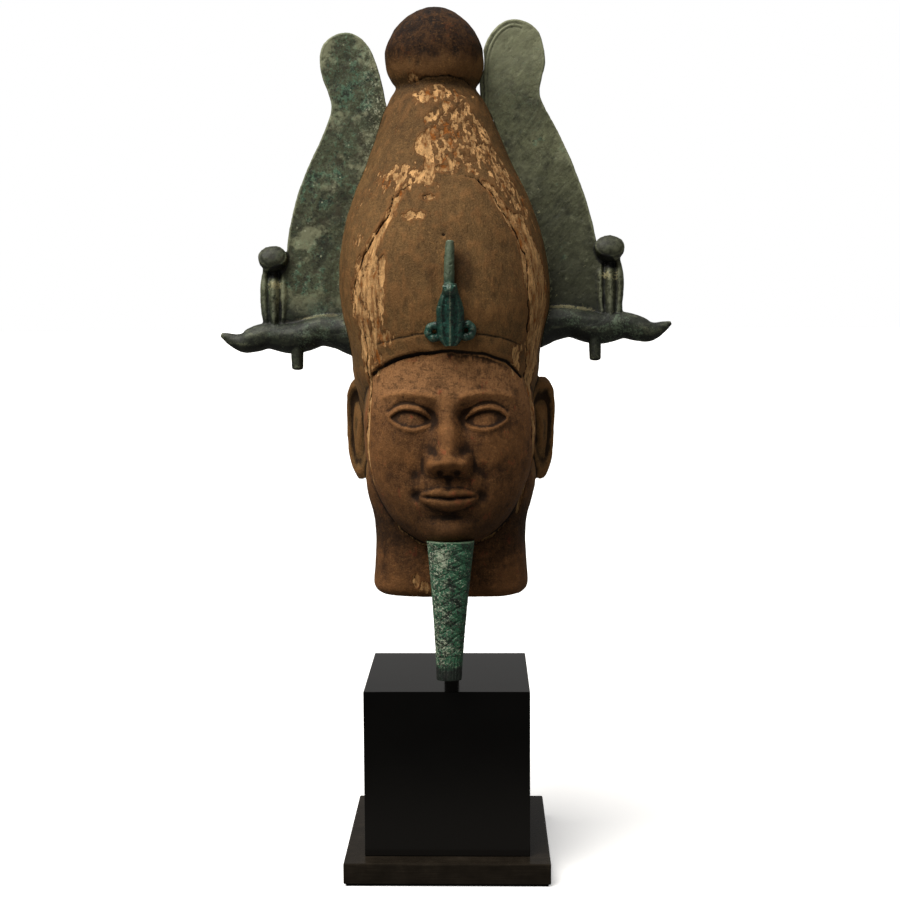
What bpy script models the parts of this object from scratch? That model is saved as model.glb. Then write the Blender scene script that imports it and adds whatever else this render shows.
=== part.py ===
"""A carved wooden head in a tall crown, with cast bronze plumes, horns, cobra and plaited beard, on a stand.

Metres, +Z up. The face looks along -Y. The origin is the middle of the stand's underside.
"""

import math

import bmesh
import bpy
import numpy as np
from mathutils import Matrix, Vector

# Stand
PAD_THICKNESS = 0.0015
PAD_INSET = 0.002
PLINTH_WIDTH = 0.174
PLINTH_DEPTH = 0.174
PLINTH_THICKNESS = 0.018
PLINTH_BEVEL = 0.0012
BLOCK_WIDTH = 0.140
BLOCK_DEPTH = 0.140
BLOCK_HEIGHT = 0.142
BLOCK_BEVEL = 0.0006
POST_SIDE = 0.0127
POST_BEVEL = 0.0005
POST_SHOWING = 0.075
POST_IN_NECK = 0.060
POST_CLEARANCE = 0.0003
POST_SHIFT = 0.003
JOINT_GAP = 0.0003

# Bronze fittings
PLUME_THICKNESS = 0.007
PLUME_EDGE = 0.0015
BEARD_LENGTH = 0.115
BEARD_TOP_WIDTH = 0.0395
BEARD_TIP_WIDTH = 0.0212
BEARD_TOP_DEPTH = 0.026
BEARD_TIP_DEPTH = 0.017
PLAIT_PITCH = 0.0118
PLAIT_RELIEF = 0.0014
TASSEL_LENGTH = 0.020
COBRA_HEIGHT = 0.085

# Head, from the neck's underside to the top of the crown's bulb
HEAD_HEIGHT = 0.502

# Heights on the head, in units above the neck's underside, and the bulb's place above the crown's base
CHIN = 50
NAPE = 84
CROWN_BASE = 213.5
BULB_HEIGHT, BULB_HALF_WIDTH, BULB_REACH = 249, 42.5, 39.5
CROWN_TOP = CROWN_BASE + BULB_HEIGHT + BULB_REACH
UNIT = HEAD_HEIGHT / CROWN_TOP

# The crown leans to the figure's right above its widest part, and a little back.
CROWN_SHIFT = -3.7
CROWN_LEAN_SIDE = 0.041
CROWN_LEAN_BACK = 0.07
LEAN_FROM, LEAN_TO = 30, 250

# How many triangles each carved or cast piece is brought down to
HEAD_TRIANGLES = 4800
CASTING_TRIANGLES = 1150
COBRA_TRIANGLES = 800
BEARD_TRIANGLES = 1450

stand_top = PAD_THICKNESS + PLINTH_THICKNESS + BLOCK_HEIGHT + 2 * JOINT_GAP
neck_underside = stand_top + POST_SHOWING
head_origin = Vector((POST_SHIFT, 0, neck_underside))
crown_origin = head_origin + Vector((CROWN_SHIFT, 0, CROWN_BASE)) * UNIT


def clear_scene():
    """Empties the file of the objects it opened with."""
    for obj in list(bpy.data.objects):
        bpy.data.objects.remove(obj, do_unlink=True)


def new_collection(name):
    collection = bpy.data.collections.new(name)
    bpy.context.scene.collection.children.link(collection)
    return collection


clear_scene()
PARTS = new_collection("crowned_head")
CUTTERS = new_collection("cutters")


def finish(name, color, roughness, metallic=0.0):
    """A Principled material of one colour."""
    material = bpy.data.materials.new(name)
    material.use_nodes = True
    shader = material.node_tree.nodes["Principled BSDF"]
    shader.inputs["Base Color"].default_value = (*color, 1)
    shader.inputs["Roughness"].default_value = roughness
    shader.inputs["Metallic"].default_value = metallic
    material.diffuse_color = (*color, 1)
    return material


WOOD = finish("old_wood", (0.115, 0.055, 0.022), 0.7)
BRONZE = finish("green_bronze", (0.075, 0.115, 0.075), 0.65, 0.3)
BRIGHT_BRONZE = finish("bright_green_bronze", (0.03, 0.12, 0.075), 0.55, 0.3)
LACQUER = finish("black_lacquer", (0.006, 0.006, 0.006), 0.12)
DARK_PLATE = finish("dark_plate", (0.02, 0.016, 0.013), 0.25, 0.5)
FELT = finish("black_felt", (0.005, 0.005, 0.005), 0.95)


def smooth_through(points):
    """A function that passes smoothly through (place, value) points and stays level beyond them."""
    at, value = (np.array(column, float) for column in zip(*points))
    slope = np.gradient(value, at)

    def curve(x):
        x = np.clip(np.asarray(x, float), at[0], at[-1])
        i = np.clip(np.searchsorted(at, x) - 1, 0, len(at) - 2)
        width = at[i + 1] - at[i]
        t = (x - at[i]) / width
        rise = 3 * t**2 - 2 * t**3
        start = t**3 - 2 * t**2 + t
        end = t**3 - t**2
        bend = width * (start * slope[i] + end * slope[i + 1])
        return value[i] * (1 - rise) + value[i + 1] * rise + bend

    return curve


def smooth_step(low, high, x):
    t = np.clip((np.asarray(x, float) - low) / (high - low), 0, 1)
    return t * t * (3 - 2 * t)


def bump(x, centre, spread):
    return np.exp(-(((x - centre) / spread) ** 2))


def pillow(share, power):
    """1 in the middle of a 0 to 1 span, and 0 at its ends and outside it."""
    return np.clip(4 * share * (1 - share), 0, 1) ** power


def soft_max(a, b, width):
    """The larger of two values, rounded over a width where they are nearly equal."""
    mix = np.clip(0.5 + 0.5 * (a - b) / width, 0, 1)
    return b * (1 - mix) + a * mix + width * mix * (1 - mix)


def oval(angles, half_width, front, back, power):
    """Points of an oval section, flatter-sided as its power rises. Angle 0 is +X, -90 degrees the front."""
    across, along = np.cos(angles), np.sin(angles)
    x = half_width * np.sign(across) * np.abs(across) ** (2 / power)
    reach = np.where(along < 0, front, back)
    y = reach * np.sign(along) * np.abs(along) ** (2 / power)
    return x, y


def even_angles(count):
    return np.arange(count) * 2 * math.pi / count


def front_dense_angles(front_count, back_count, front_half):
    """Angles round a section that crowd together over the face."""
    front = np.linspace(-front_half, front_half, front_count) - math.pi / 2
    back = np.linspace(front_half, 2 * math.pi - front_half, back_count + 2)[1:-1] - math.pi / 2
    return np.concatenate([front, back])


def rounded(points, closed, steps):
    """The same line with points added on a smooth curve between the given ones."""
    given = [Vector(p) for p in points]
    count = len(given)
    made = []
    for i in range(count if closed else count - 1):
        if closed:
            a, b, c, d = (given[(i + k) % count] for k in (-1, 0, 1, 2))
        else:
            a, b, c, d = (given[min(max(i + k, 0), count - 1)] for k in (-1, 0, 1, 2))
        for k in range(steps):
            t = k / steps
            bend = (2 * a - 5 * b + 4 * c - d) * t**2 + (3 * b - a - 3 * c + d) * t**3
            made.append(0.5 * (2 * b + (c - a) * t + bend))
    if not closed:
        made.append(given[-1])
    return made


def new_object(name, mesh, collection, material=None):
    obj = bpy.data.objects.new(name, mesh)
    collection.objects.link(obj)
    if material:
        mesh.materials.append(material)
    if collection is CUTTERS:
        obj.hide_render = True
        obj.display_type = "WIRE"
    return obj


def from_bmesh(name, bm, collection, material=None):
    bmesh.ops.recalc_face_normals(bm, faces=bm.faces)
    mesh = bpy.data.meshes.new(name)
    bm.to_mesh(mesh)
    bm.free()
    return new_object(name, mesh, collection, material)


def loft(name, rings, collection, material=None):
    """A closed solid through rings of equal point count, with a cap across each end."""
    bm = bmesh.new()
    rows = [[bm.verts.new(point) for point in ring] for ring in rings]
    count = len(rows[0])
    for low, high in zip(rows, rows[1:]):
        for i in range(count):
            j = (i + 1) % count
            bm.faces.new((low[i], low[j], high[j], high[i]))
    bm.faces.new(rows[0][::-1])
    bm.faces.new(rows[-1])
    return from_bmesh(name, bm, collection, material)


def box(name, size, centre, bevel, collection, material=None):
    """A block with narrow bevelled edges."""
    bm = bmesh.new()
    bmesh.ops.create_cube(bm, size=1, matrix=Matrix.Diagonal((*size, 1)))
    obj = from_bmesh(name, bm, collection, material)
    obj.location = centre
    if bevel:
        edge = obj.modifiers.new("edges", "BEVEL")
        edge.width = bevel
        edge.segments = 2
    return obj


def ball(name, radii, place, rings=7, segments=10):
    """An ellipsoid set by a placing matrix, for joining to a cast piece."""
    bm = bmesh.new()
    bmesh.ops.create_uvsphere(bm, u_segments=segments, v_segments=rings, radius=1)
    bmesh.ops.scale(bm, vec=radii, verts=bm.verts)
    obj = from_bmesh(name, bm, CUTTERS)
    obj.matrix_world = place
    return obj


def round_bar(name, radii, length, place, segments, edge):
    """A round plate or tapered peg along its own Z, with rounded ends, set by a placing matrix."""
    bm = bmesh.new()
    bmesh.ops.create_cone(
        bm, cap_ends=True, segments=segments, radius1=radii[0], radius2=radii[1], depth=length
    )
    obj = from_bmesh(name, bm, CUTTERS)
    obj.matrix_world = place
    round_over = obj.modifiers.new("edge", "BEVEL")
    round_over.width = edge
    round_over.segments = 1
    round_over.angle_limit = math.radians(50)
    return obj


def mesh_of_curve(curve_object):
    """Turns a curve object into a closed mesh object in the same place."""
    graph = bpy.context.evaluated_depsgraph_get()
    mesh = bpy.data.meshes.new_from_object(curve_object.evaluated_get(graph))
    bm = bmesh.new()
    bm.from_mesh(mesh)
    bmesh.ops.remove_doubles(bm, verts=bm.verts, dist=1e-6)
    bmesh.ops.recalc_face_normals(bm, faces=bm.faces)
    bm.to_mesh(mesh)
    bm.free()
    obj = new_object(curve_object.name + "_mesh", mesh, CUTTERS)
    obj.matrix_world = curve_object.matrix_world.copy()
    bpy.data.objects.remove(curve_object)
    return obj


def tube(name, points, radii, sides=2):
    """A round bar through points, with a radius at each."""
    data = bpy.data.curves.new(name, "CURVE")
    data.dimensions = "3D"
    data.bevel_depth = 1.0
    data.bevel_resolution = sides
    data.use_fill_caps = True
    spline = data.splines.new("POLY")
    spline.points.add(len(points) - 1)
    for place, point, radius in zip(spline.points, points, radii):
        place.co = (*point, 1)
        place.radius = radius
    obj = bpy.data.objects.new(name, data)
    CUTTERS.objects.link(obj)
    bpy.context.view_layer.update()
    return mesh_of_curve(obj)


def plate(name, outline, thickness, edge, place):
    """A flat plate with rounded edges, cut to an outline in X and Z and set by a placing matrix."""
    data = bpy.data.curves.new(name, "CURVE")
    data.dimensions = "2D"
    data.fill_mode = "BOTH"
    data.extrude = thickness / 2 - edge
    data.bevel_depth = edge
    data.bevel_resolution = 0
    data.offset = -edge
    spline = data.splines.new("POLY")
    spline.points.add(len(outline) - 1)
    for point, (x, z) in zip(spline.points, outline):
        point.co = (x, z, 0, 1)
    spline.use_cyclic_u = True
    obj = bpy.data.objects.new(name, data)
    obj.matrix_world = place @ Matrix.Rotation(math.pi / 2, 4, "X")
    CUTTERS.objects.link(obj)
    bpy.context.view_layer.update()
    return mesh_of_curve(obj)


def combine(target, others, operation):
    """Adds a Boolean to the target for each of the others."""
    for other in others:
        boolean = target.modifiers.new(operation.lower(), "BOOLEAN")
        boolean.operation = operation
        boolean.object = other


def settle(obj, angle=35):
    """Applies an object's modifiers and shades it smooth."""
    bpy.context.view_layer.update()
    graph = bpy.context.evaluated_depsgraph_get()
    mesh = bpy.data.meshes.new_from_object(obj.evaluated_get(graph))
    obj.modifiers.clear()
    obj.data = mesh
    mesh.shade_smooth()
    mesh.set_sharp_from_angle(angle=math.radians(angle))
    return obj


def fewer_faces(obj, triangles):
    """Brings a solid down to about a number of triangles, keeping its shape."""
    thin = obj.modifiers.new("fewer_faces", "DECIMATE")
    thin.ratio = min(1.0, triangles / sum(len(face.vertices) - 2 for face in obj.data.polygons))
    return settle(obj)


def make_piece(name, core, joined, cutters, material, triangles):
    """One cast piece: a core with others joined to it, cut back by its neighbours."""
    combine(core, joined, "UNION")
    combine(core, cutters, "DIFFERENCE")
    settle(core)
    fewer_faces(core, triangles)
    core.name = name
    core.data.materials.clear()
    core.data.materials.append(material)
    CUTTERS.objects.unlink(core)
    PARTS.objects.link(core)
    core.hide_render = False
    core.display_type = "TEXTURED"
    return core


# The crown's half width at heights above its base, without the bulb on top
crown_body = smooth_through(
    [(-131, 63), (-100, 67), (-60, 72), (-35, 77.5), (-23, 80), (-6, 81.5), (10, 84.5), (25, 88), (42, 90),
     (68, 89.4), (100, 83.6), (126, 75), (152, 63.5), (180, 52.5), (200, 45), (216, 36), (240, 18)]
)
BULB_POWER_ABOVE, BULB_POWER_BELOW = 1.5, 3.0


def crown_half_width(up):
    """Half the crown's width at a height above its base: a tapering body under a round bulb."""
    from_middle = np.clip((up - BULB_HEIGHT) / BULB_REACH, -1, 1)
    power = np.where(from_middle > 0, BULB_POWER_ABOVE, BULB_POWER_BELOW)
    bulb = BULB_HALF_WIDTH * np.sqrt(1 - np.abs(from_middle) ** power)
    body = np.where(up > BULB_HEIGHT, 0, crown_body(up))
    return soft_max(body, bulb, 2.0)


crown_front_share = smooth_through(
    [(-131, 0.55), (-75, 0.72), (-35, 0.98), (-12, 1.05), (0, 1.055), (40, 1.03), (200, 1.0)]
)
crown_back_share = smooth_through([(-131, 0.92), (-60, 1.1), (0, 1.09), (60, 1.05), (200, 1.0)])
# The crown's lower edge, which rises over the brow and falls behind the ears, by degrees from the front
crown_edge = smooth_through(
    [(0, -3.3), (13, -5.1), (29, -10.6), (43, -19.6), (51, -26.6), (57, -45), (64, -80),
     (72, NAPE + 17 - CROWN_BASE), (90, NAPE + 3 - CROWN_BASE), (180, NAPE - CROWN_BASE)]
)


def crown_lean(up):
    """How far the crown's middle has moved to the side and back at a height above its base."""
    leaning = np.clip(up, LEAN_FROM, LEAN_TO) - LEAN_FROM
    return -CROWN_LEAN_SIDE * leaning, CROWN_LEAN_BACK * np.clip(up, 0, LEAN_TO)


def crown_rings(grow, columns=52, low_rows=9, high_rows=22):
    """Rings of the crown from its lower edge to its top, grown outwards by a clearance in units."""
    angles = even_angles(columns)
    from_front = np.degrees(np.abs((angles + math.pi / 2 + math.pi) % (2 * math.pi) - math.pi))
    edge = crown_edge(from_front) - grow
    level_from = 60
    top = CROWN_TOP - CROWN_BASE + grow
    levels = [edge + (level_from - edge) * k / low_rows for k in range(low_rows)]
    for k in range(high_rows + 1):
        share = math.sin(math.pi / 2 * k / (high_rows + 0.4)) ** 0.92
        levels.append(np.full(columns, level_from + (top - 0.4 - level_from) * share))
    rings = []
    for number, up in enumerate([levels[0], *levels]):
        width = crown_half_width(np.minimum(up, BULB_HEIGHT + BULB_REACH - 0.4)) + grow
        x, y = oval(angles, width, width * crown_front_share(up), width * crown_back_share(up), 2.15)
        inset = 0.8 if number == 0 else 1.0
        side, back = crown_lean(up)
        rings.append(np.stack([x * inset + side, y * inset + back, up], 1) * UNIT + np.array(crown_origin))
    return rings


EYE_HEIGHT, EYE_ACROSS, EYE_HALF_WIDTH = 104, 31, 17
MOUTH_HEIGHT, MOUTH_HALF_WIDTH = 41, 25
NOSE_BASE, NOSE_BRIDGE = 62, 116


def nose_relief(side, h):
    """The straight ridge of the nose with its rounded tip, its wings and the hollows of the nostrils."""
    up = (h - NOSE_BASE) / (NOSE_BRIDGE - NOSE_BASE)
    length = smooth_step(-0.1, 0.19, up) * (1 - smooth_step(0.55, 1.3, up))
    rise = 18.5 - 8.5 * np.clip(up, 0, 1.2) + 1.5 * bump(up, 0.14, 0.12)
    half = 9.4 + 2.0 * bump(up, 0.12, 0.25) + 1.5 * smooth_step(0.6, 1.1, up)
    ridge = rise * length * (0.75 * np.exp(-((side / half) ** 2.8)) + 0.25 * bump(side, 0, 2.1 * half))
    wings = 8.5 * np.exp(-(((side - 13.0) / 5.4) ** 2 + ((h - NOSE_BASE - 6.5) / 6.6) ** 2))
    creases = -1.8 * np.exp(-(((side - 20.5) / 3.2) ** 2 + ((h - NOSE_BASE - 7) / 7) ** 2))
    nostrils = -4.0 * bump(side, 7.0, 3.0) * bump(h, NOSE_BASE + 0.5, 2.2)
    return ridge + wings + creases + nostrils


def eye_relief(side, h):
    """The hollow of the eye, the eyeball between two raised lids, and the fold over it."""
    across = (side - EYE_ACROSS) / EYE_HALF_WIDTH
    hollow = -8.0 * bump(side, EYE_ACROSS - 5, 21) * bump(h, EYE_HEIGHT + 2, 11.5)
    inner_corner = -5.5 * bump(side, 13.5, 6.5) * bump(h, EYE_HEIGHT + 2, 9)
    ball = 8.5 * np.exp(-((across / 1.05) ** 2 + ((h - EYE_HEIGHT) / 11.5) ** 2))
    opening = np.clip(1 - across**2, 0, 1)
    slant = 1.2 * across
    upper = EYE_HEIGHT + slant + 8.2 * opening**0.8
    lower = EYE_HEIGHT + slant - 6.2 * opening**0.9
    open_here = smooth_step(-1.2, 1.6, upper - h) * smooth_step(-1.2, 1.6, h - lower)
    open_here = open_here * smooth_step(0.0, 0.12, opening)
    reach = smooth_step(12, 16, side) * (1 - smooth_step(47.5, 52.5, side))
    lids = 1.9 * bump(h, upper + 2.0, 2.5) + 1.4 * bump(h, lower - 1.6, 2.2)
    fold = -1.5 * bump(h, upper + 6.2, 2.2)
    return hollow + inner_corner + ball - 1.4 * open_here + (lids + fold) * reach * (1 - open_here)


def brow_relief(side, h):
    line = 120.0 + 6.0 * np.clip(1 - ((side - 31) / 27) ** 2, -0.9, 1)
    strip = 2.0 * bump(h, line, 3.0) * smooth_step(7, 13, side) * (1 - smooth_step(52, 60, side))
    return strip + 2.5 * bump(h, 124, 13) * bump(side, 0, 50)


def mouth_relief(side, h):
    """Full closed lips with a soft parting, and the hollows round them."""
    share = side / MOUTH_HALF_WIDTH
    closing = np.clip(1 - share**2, 0, 1)
    line = MOUTH_HEIGHT + 1.3 * share**2 - 0.5 * bump(side, 0, 4)
    top = line + 9.0 * closing**0.75 - 0.9 * bump(side, 0, 3.4)
    bottom = line - 10.8 * closing**0.6
    upper = 3.6 * closing**0.45 * pillow((h - line) / np.maximum(top - line, 0.5), 0.7)
    lower = 4.4 * closing**0.45 * pillow((line - h) / np.maximum(line - bottom, 0.5), 0.65)
    corners = -3.6 * np.exp(-(((side - MOUTH_HALF_WIDTH - 1.5) / 5) ** 2 + ((h - MOUTH_HEIGHT - 1) / 5) ** 2))
    parting = -1.2 * closing**0.5 * bump(h, line, 1.4)
    groove = -1.5 * bump(side, 0, 2.8) * bump(h, 55, 4.5)
    return upper + lower + parting + corners + groove


def face_relief(x, h):
    """How far the face stands forward of its plain oval, in units, at x across it and h above the chin."""
    side = np.abs(x)
    cheeks = 4.5 * np.exp(-(((side - 42) / 20) ** 2 + ((h - 82) / 18) ** 2))
    muzzle = 6.0 * bump(side, 0, 31) * bump(h, 46, 20)
    fold = -1.8 * bump(side, 27 + (62 - h) * 0.25, 5) * bump(h, 58, 12)
    under_lip = -3.2 * bump(side, 0, 18) * bump(h, 24, 5.0)
    chin = 6.0 * np.exp(-((side / 17) ** 2 + ((h - 12) / 10) ** 2))
    shape = cheeks + muzzle + fold + under_lip + chin
    return shape + nose_relief(side, h) + eye_relief(side, h) + brow_relief(side, h) + mouth_relief(side, h)


face_half_width = smooth_through(
    [(-5, 12), (0, 24), (6, 35), (16, 46), (32, 57), (50, 65), (75, 71), (105, 72.5), (130, 70), (160, 67),
     (200, 60)]
)
face_front = smooth_through(
    [(-5, 66), (0, 76), (6, 81), (16, 83.5), (35, 84), (70, 84), (110, 84.5), (150, 84), (185, 80), (200, 75)]
)
face_back = smooth_through([(-5, -50), (0, -42), (16, -25), (40, 2), (80, 30), (140, 50), (200, 50)])
face_middle = smooth_through([(-5, -40), (60, -40), (110, -30), (150, -20), (200, -18)])
FACE_ROW = 1.5
FACE_SHIFT = -2.2


def face_rings(front_columns=92, back_columns=14, high=200):
    """Rings of the face and the skull behind it, from under the chin to inside the crown."""
    angles = front_dense_angles(front_columns, back_columns, math.radians(88))
    facing = np.clip(-np.sin(angles), 0, 1) ** 0.6
    rings = []
    for h in np.arange(-5, high, FACE_ROW):
        middle = float(face_middle(h))
        front = face_front(h) + middle
        back = max(float(face_back(h)) - middle, 6)
        x, y = oval(angles, face_half_width(h), front, back, 2.15)
        y = y + middle - face_relief(x, h) * facing * smooth_step(-5, 4, h)
        z = np.full_like(x, CHIN + h)
        across = x + FACE_SHIFT * smooth_step(90, 160, h)
        rings.append(np.stack([across, y, z], 1) * UNIT + np.array(head_origin))
    return rings


NECK_HALF_WIDTH, NECK_FRONT, NECK_BACK, NECK_ROUNDING = 67.3, 50, 60, 10
neck_share = smooth_through(
    [(0, 1.0), (70, 1.0), (82, 1.05), (92, 1.08), (104, 1.09), (118, 1.05), (134, 0.9)]
)


def neck_rings(columns=40):
    """Rings of the squared neck, whose lower corners are rounded over."""
    angles = even_angles(columns)
    turn = np.linspace(0, math.pi / 2, 4)
    heights = list(NECK_ROUNDING * (1 - np.cos(turn))) + [40, 70, 82, 92, 104, 118, 134]
    insets = list(NECK_ROUNDING * (1 - np.sin(turn))) + [0] * 7
    rings = []
    for height, inset in zip(heights, insets):
        size = float(neck_share(height))
        x, y = oval(angles, NECK_HALF_WIDTH * size - inset, NECK_FRONT - inset, NECK_BACK - inset, 3.6)
        rings.append(np.stack([x, y, np.full_like(x, height)], 1) * UNIT + np.array(head_origin))
    return rings


EAR_TALL, EAR_WIDE, EAR_DEEP, EAR_POWER = 90, 32, 9, 2.7
EAR_PLACE = (78, -1, 141)
EAR_SPLAY = math.radians(40)
ear_share = smooth_through(
    [(0, 0.80), (60, 1.0), (120, 1.04), (180, 0.86), (240, 0.62), (290, 0.66), (360, 0.80)]
)


def ear(side, columns=28, rings=7):
    """An ear with a rolled rim round a hollow, broad above and narrow at the lobe."""
    angles = even_angles(columns)
    outline = ear_share(np.degrees(angles))
    bm = bmesh.new()

    def ring_of(share, out):
        half_tall = 0.5 * EAR_TALL * share
        along, up = oval(angles, 0.55 * EAR_WIDE * share, half_tall, half_tall, EAR_POWER)
        along = along * outline
        return [bm.verts.new((a, out, u)) for a, u in zip(along, up)]

    front, back = [], []
    for share in np.linspace(0.16, 1.0, rings):
        edge = 0.5 * EAR_DEEP * (1 - share**6)
        rim = 3.0 * bump(share, 0.84, 0.16) - 3.2 * bump(share, 0.4, 0.28)
        front.append(ring_of(share, edge + rim * (1 - 0.8 * share**8)))
        if share < 1:
            back.append(ring_of(share, -edge))
    for rows in (front, [*back, front[-1]]):
        for inner, outer in zip(rows, rows[1:]):
            for i in range(columns):
                j = (i + 1) % columns
                bm.faces.new((inner[i], inner[j], outer[j], outer[i]))
        bm.faces.new(rows[0])
    turn = Matrix.Rotation(math.pi + EAR_SPLAY, 4, "Z") @ Matrix.Diagonal((-UNIT, UNIT, UNIT, 1))
    place = Matrix.Translation(Vector(EAR_PLACE) * UNIT) @ turn
    bm.transform(Matrix.Translation(head_origin) @ Matrix.Diagonal((side, 1, 1, 1)) @ place)
    return from_bmesh("ear", bm, CUTTERS)


def head_and_crown():
    """The face, ears, neck and crown, carved from one piece, with a socket under the neck for the post."""
    head = loft("head_and_crown", crown_rings(0), PARTS, WOOD)
    others = [loft("face", face_rings(), CUTTERS), loft("neck", neck_rings(), CUTTERS), ear(1), ear(-1)]
    combine(head, others, "UNION")
    settle(head)
    fewer_faces(head, HEAD_TRIANGLES)
    side = POST_SIDE + 2 * POST_CLEARANCE
    deep = POST_IN_NECK + POST_CLEARANCE
    socket = box("post_socket", (side, side, 2 * deep), (POST_SHIFT, 0, neck_underside), 0, CUTTERS)
    combine(head, [socket], "DIFFERENCE")
    return settle(head)


# The plume's outline: up the outer edge from the horn, over the curled top and down to the crown
PLUME_OUTLINE = [
    (139, 14), (138, 48), (134.5, 82), (127.5, 117), (116, 151), (103, 178), (92.5, 198), (89.5, 209),
    (92, 220), (96.5, 232), (97.5, 245), (94, 258), (85.5, 266.5), (74.5, 270.5), (64, 268),
    (54.5, 259.5), (48.5, 248), (45, 236), (42.5, 221), (41.5, 208), (38, 180), (50, 140), (66, 90),
    (74, 40), (74, 14),
]
# The horn's middle line and radius, out from the crown
HORN_PATH = [
    (74, 13, 20), (84, 14.8, 17.2), (93, 16.6, 15.2), (108, 18, 13.6), (122, 13.5, 13.6), (135, 11.5, 13.2),
    (153, 14, 11.4), (165, 11.2, 11), (174, 8.8, 9.6), (181, 9.6, 7.2), (189, 13, 4.4), (195, 15.8, 1.8),
]
SIDE_COBRA_PLACE = (145.0, -1.0)
SNAKE_HEAD_HEIGHT, HOOD_OVER_HEAD = 70, 2
side_hood_half_width = smooth_through([(14, 9.6), (28, 10.6), (44, 12.2), (56, 12.0), (64, 11), (70, 9.5)])
# The sun disc stands on the snake's head.
SUN_RADIUS, SUN_THICKNESS, SUN_FLATNESS = 12.5, 9, 0.82
SUN_HEIGHT = SNAKE_HEAD_HEIGHT + SUN_RADIUS * SUN_FLATNESS
SUN_TILT = math.radians(20)
PEG_PLACE, PEG_LENGTH = (128.4, -5, -1), 27
PEG_RADII = (5.0, 5.8)

# Both bronzes lean with the crown, and each is set at its own height.
CASTING_RISE = {-1: -4.0, 1: 0.4}
CASTING_LEAN = math.radians(0.6)
COBRA_BEND = -3.0
PLUME_SHIFT = {-1: 0, 1: -2.0}
# How far the plumes bend to the figure's right, and how much taller they stand, by height
plume_bend = smooth_through([(0, -2.5), (184, -3.0), (213, -7.5), (245, -9.5), (276, -9.0)])
plume_stretch = smooth_through([(0, 0), (184, 1), (213, 2.5), (276, 3)])
# How far the outer edge of each plume swells outward, and how much taller it stands than its pair, by side
edge_swell = {
    -1: smooth_through(
        [(0, 0), (60, 0.7), (95, 3.5), (148, 4.3), (173, 1.8), (200, 0), (240, -2.4), (265, 0.5)]
    ),
    1: smooth_through(
        [(0, 0), (80, -1), (104, -1.8), (156, -1.8), (170, 0), (195, 2.3), (221, 3.7), (247, 1.7)]
    ),
}
PLUME_RISE = {-1: 0, 1: 4}
OUTER_EDGE_FROM = 80


def bent_plume(side):
    """The plume's outline as it stands on one side."""
    bent = []
    for x, z in PLUME_OUTLINE:
        swell = float(edge_swell[side](z)) if x > OUTER_EDGE_FROM else 0
        rise = PLUME_RISE[side] * float(smooth_step(120, 250, z))
        across = x + side * (PLUME_SHIFT[side] + float(plume_bend(z))) + swell
        bent.append((across, z + float(plume_stretch(z)) + rise))
    return bent


def hood_rings(heights, half_width, half_depth, middle, unit):
    """Rings of a cobra's hood: an oval with a raised rib down its front between two shallow hollows."""
    angles = even_angles(16)
    rings = []
    for height in heights:
        wide = float(half_width(height))
        x, y = oval(angles, wide, half_depth, half_depth, 2.4)
        across = np.abs(x) / wide
        rib = 1.5 * bump(across, 0, 0.25) - 1.3 * bump(across, 0.48, 0.17)
        y = y - np.where(y < 0, rib, 0) + float(middle(height))
        rings.append(np.stack([x, y, np.full_like(x, height)], 1) * unit)
    return rings


def side_cobra(place):
    """The small cobra that stands on the horn against the plume, with a sun disc on its head."""
    across, forward = SIDE_COBRA_PLACE
    here = place @ Matrix.Translation(Vector((across, forward, 0)) * UNIT)
    middle = smooth_through([(14, 0), (50, 0), (70, -3)])
    heights = np.linspace(14, SNAKE_HEAD_HEIGHT + HOOD_OVER_HEAD, 7)
    hood = loft("hood", hood_rings(heights, side_hood_half_width, 5.5, middle, UNIT), CUTTERS)
    hood.matrix_world = here
    head_place = here @ Matrix.Translation(Vector((0, -6, SNAKE_HEAD_HEIGHT)) * UNIT)
    head = ball("snake_head", Vector((5.4, 8, 5.2)) * UNIT, head_place)
    sun_place = Matrix.Translation(Vector((0, -4, SUN_HEIGHT)) * UNIT) @ Matrix.Rotation(
        math.pi / 2 - SUN_TILT, 4, "X"
    ) @ Matrix.Diagonal((1, SUN_FLATNESS, 1, 1))
    radii = (SUN_RADIUS * UNIT, SUN_RADIUS * UNIT)
    sun = round_bar("sun", radii, SUN_THICKNESS * UNIT, here @ sun_place, 18, 1.4 * UNIT)
    return [hood, head, sun]


def plume_and_horn(name, side):
    """One side's bronze: the curled plume, the wavy ram's horn under it, a cobra with a sun disc, a peg."""
    place = (
        Matrix.Translation(crown_origin + Vector((0, 0, CASTING_RISE[side])) * UNIT)
        @ Matrix.Rotation(-math.atan(CROWN_LEAN_BACK), 4, "X")
        @ Matrix.Rotation(-CASTING_LEAN, 4, "Y")
        @ Matrix.Diagonal((side, 1, 1, 1))
    )
    outline = [(p.x * UNIT, p.y * UNIT) for p in rounded(bent_plume(side), True, 2)]
    plume = plate("plume", outline, PLUME_THICKNESS, PLUME_EDGE, place)
    path = rounded(HORN_PATH, False, 2)
    points = [place @ (Vector((p.x, 0, p.y)) * UNIT) for p in path]
    horn = tube("horn", points, [p.z * UNIT for p in path])
    peg_place = place @ Matrix.Translation(Vector(PEG_PLACE) * UNIT)
    radii = [radius * UNIT for radius in PEG_RADII]
    peg = round_bar("peg", radii, PEG_LENGTH * UNIT, peg_place, 12, 1.6 * UNIT)
    crown_cut = loft("crown_cut", crown_rings(JOINT_GAP / UNIT), CUTTERS)
    cobra_place = place @ Matrix.Translation((side * COBRA_BEND * UNIT, 0, 0))
    joined = [horn, peg, *side_cobra(cobra_place)]
    return make_piece(name, plume, joined, [crown_cut], BRONZE, CASTING_TRIANGLES)


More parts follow.
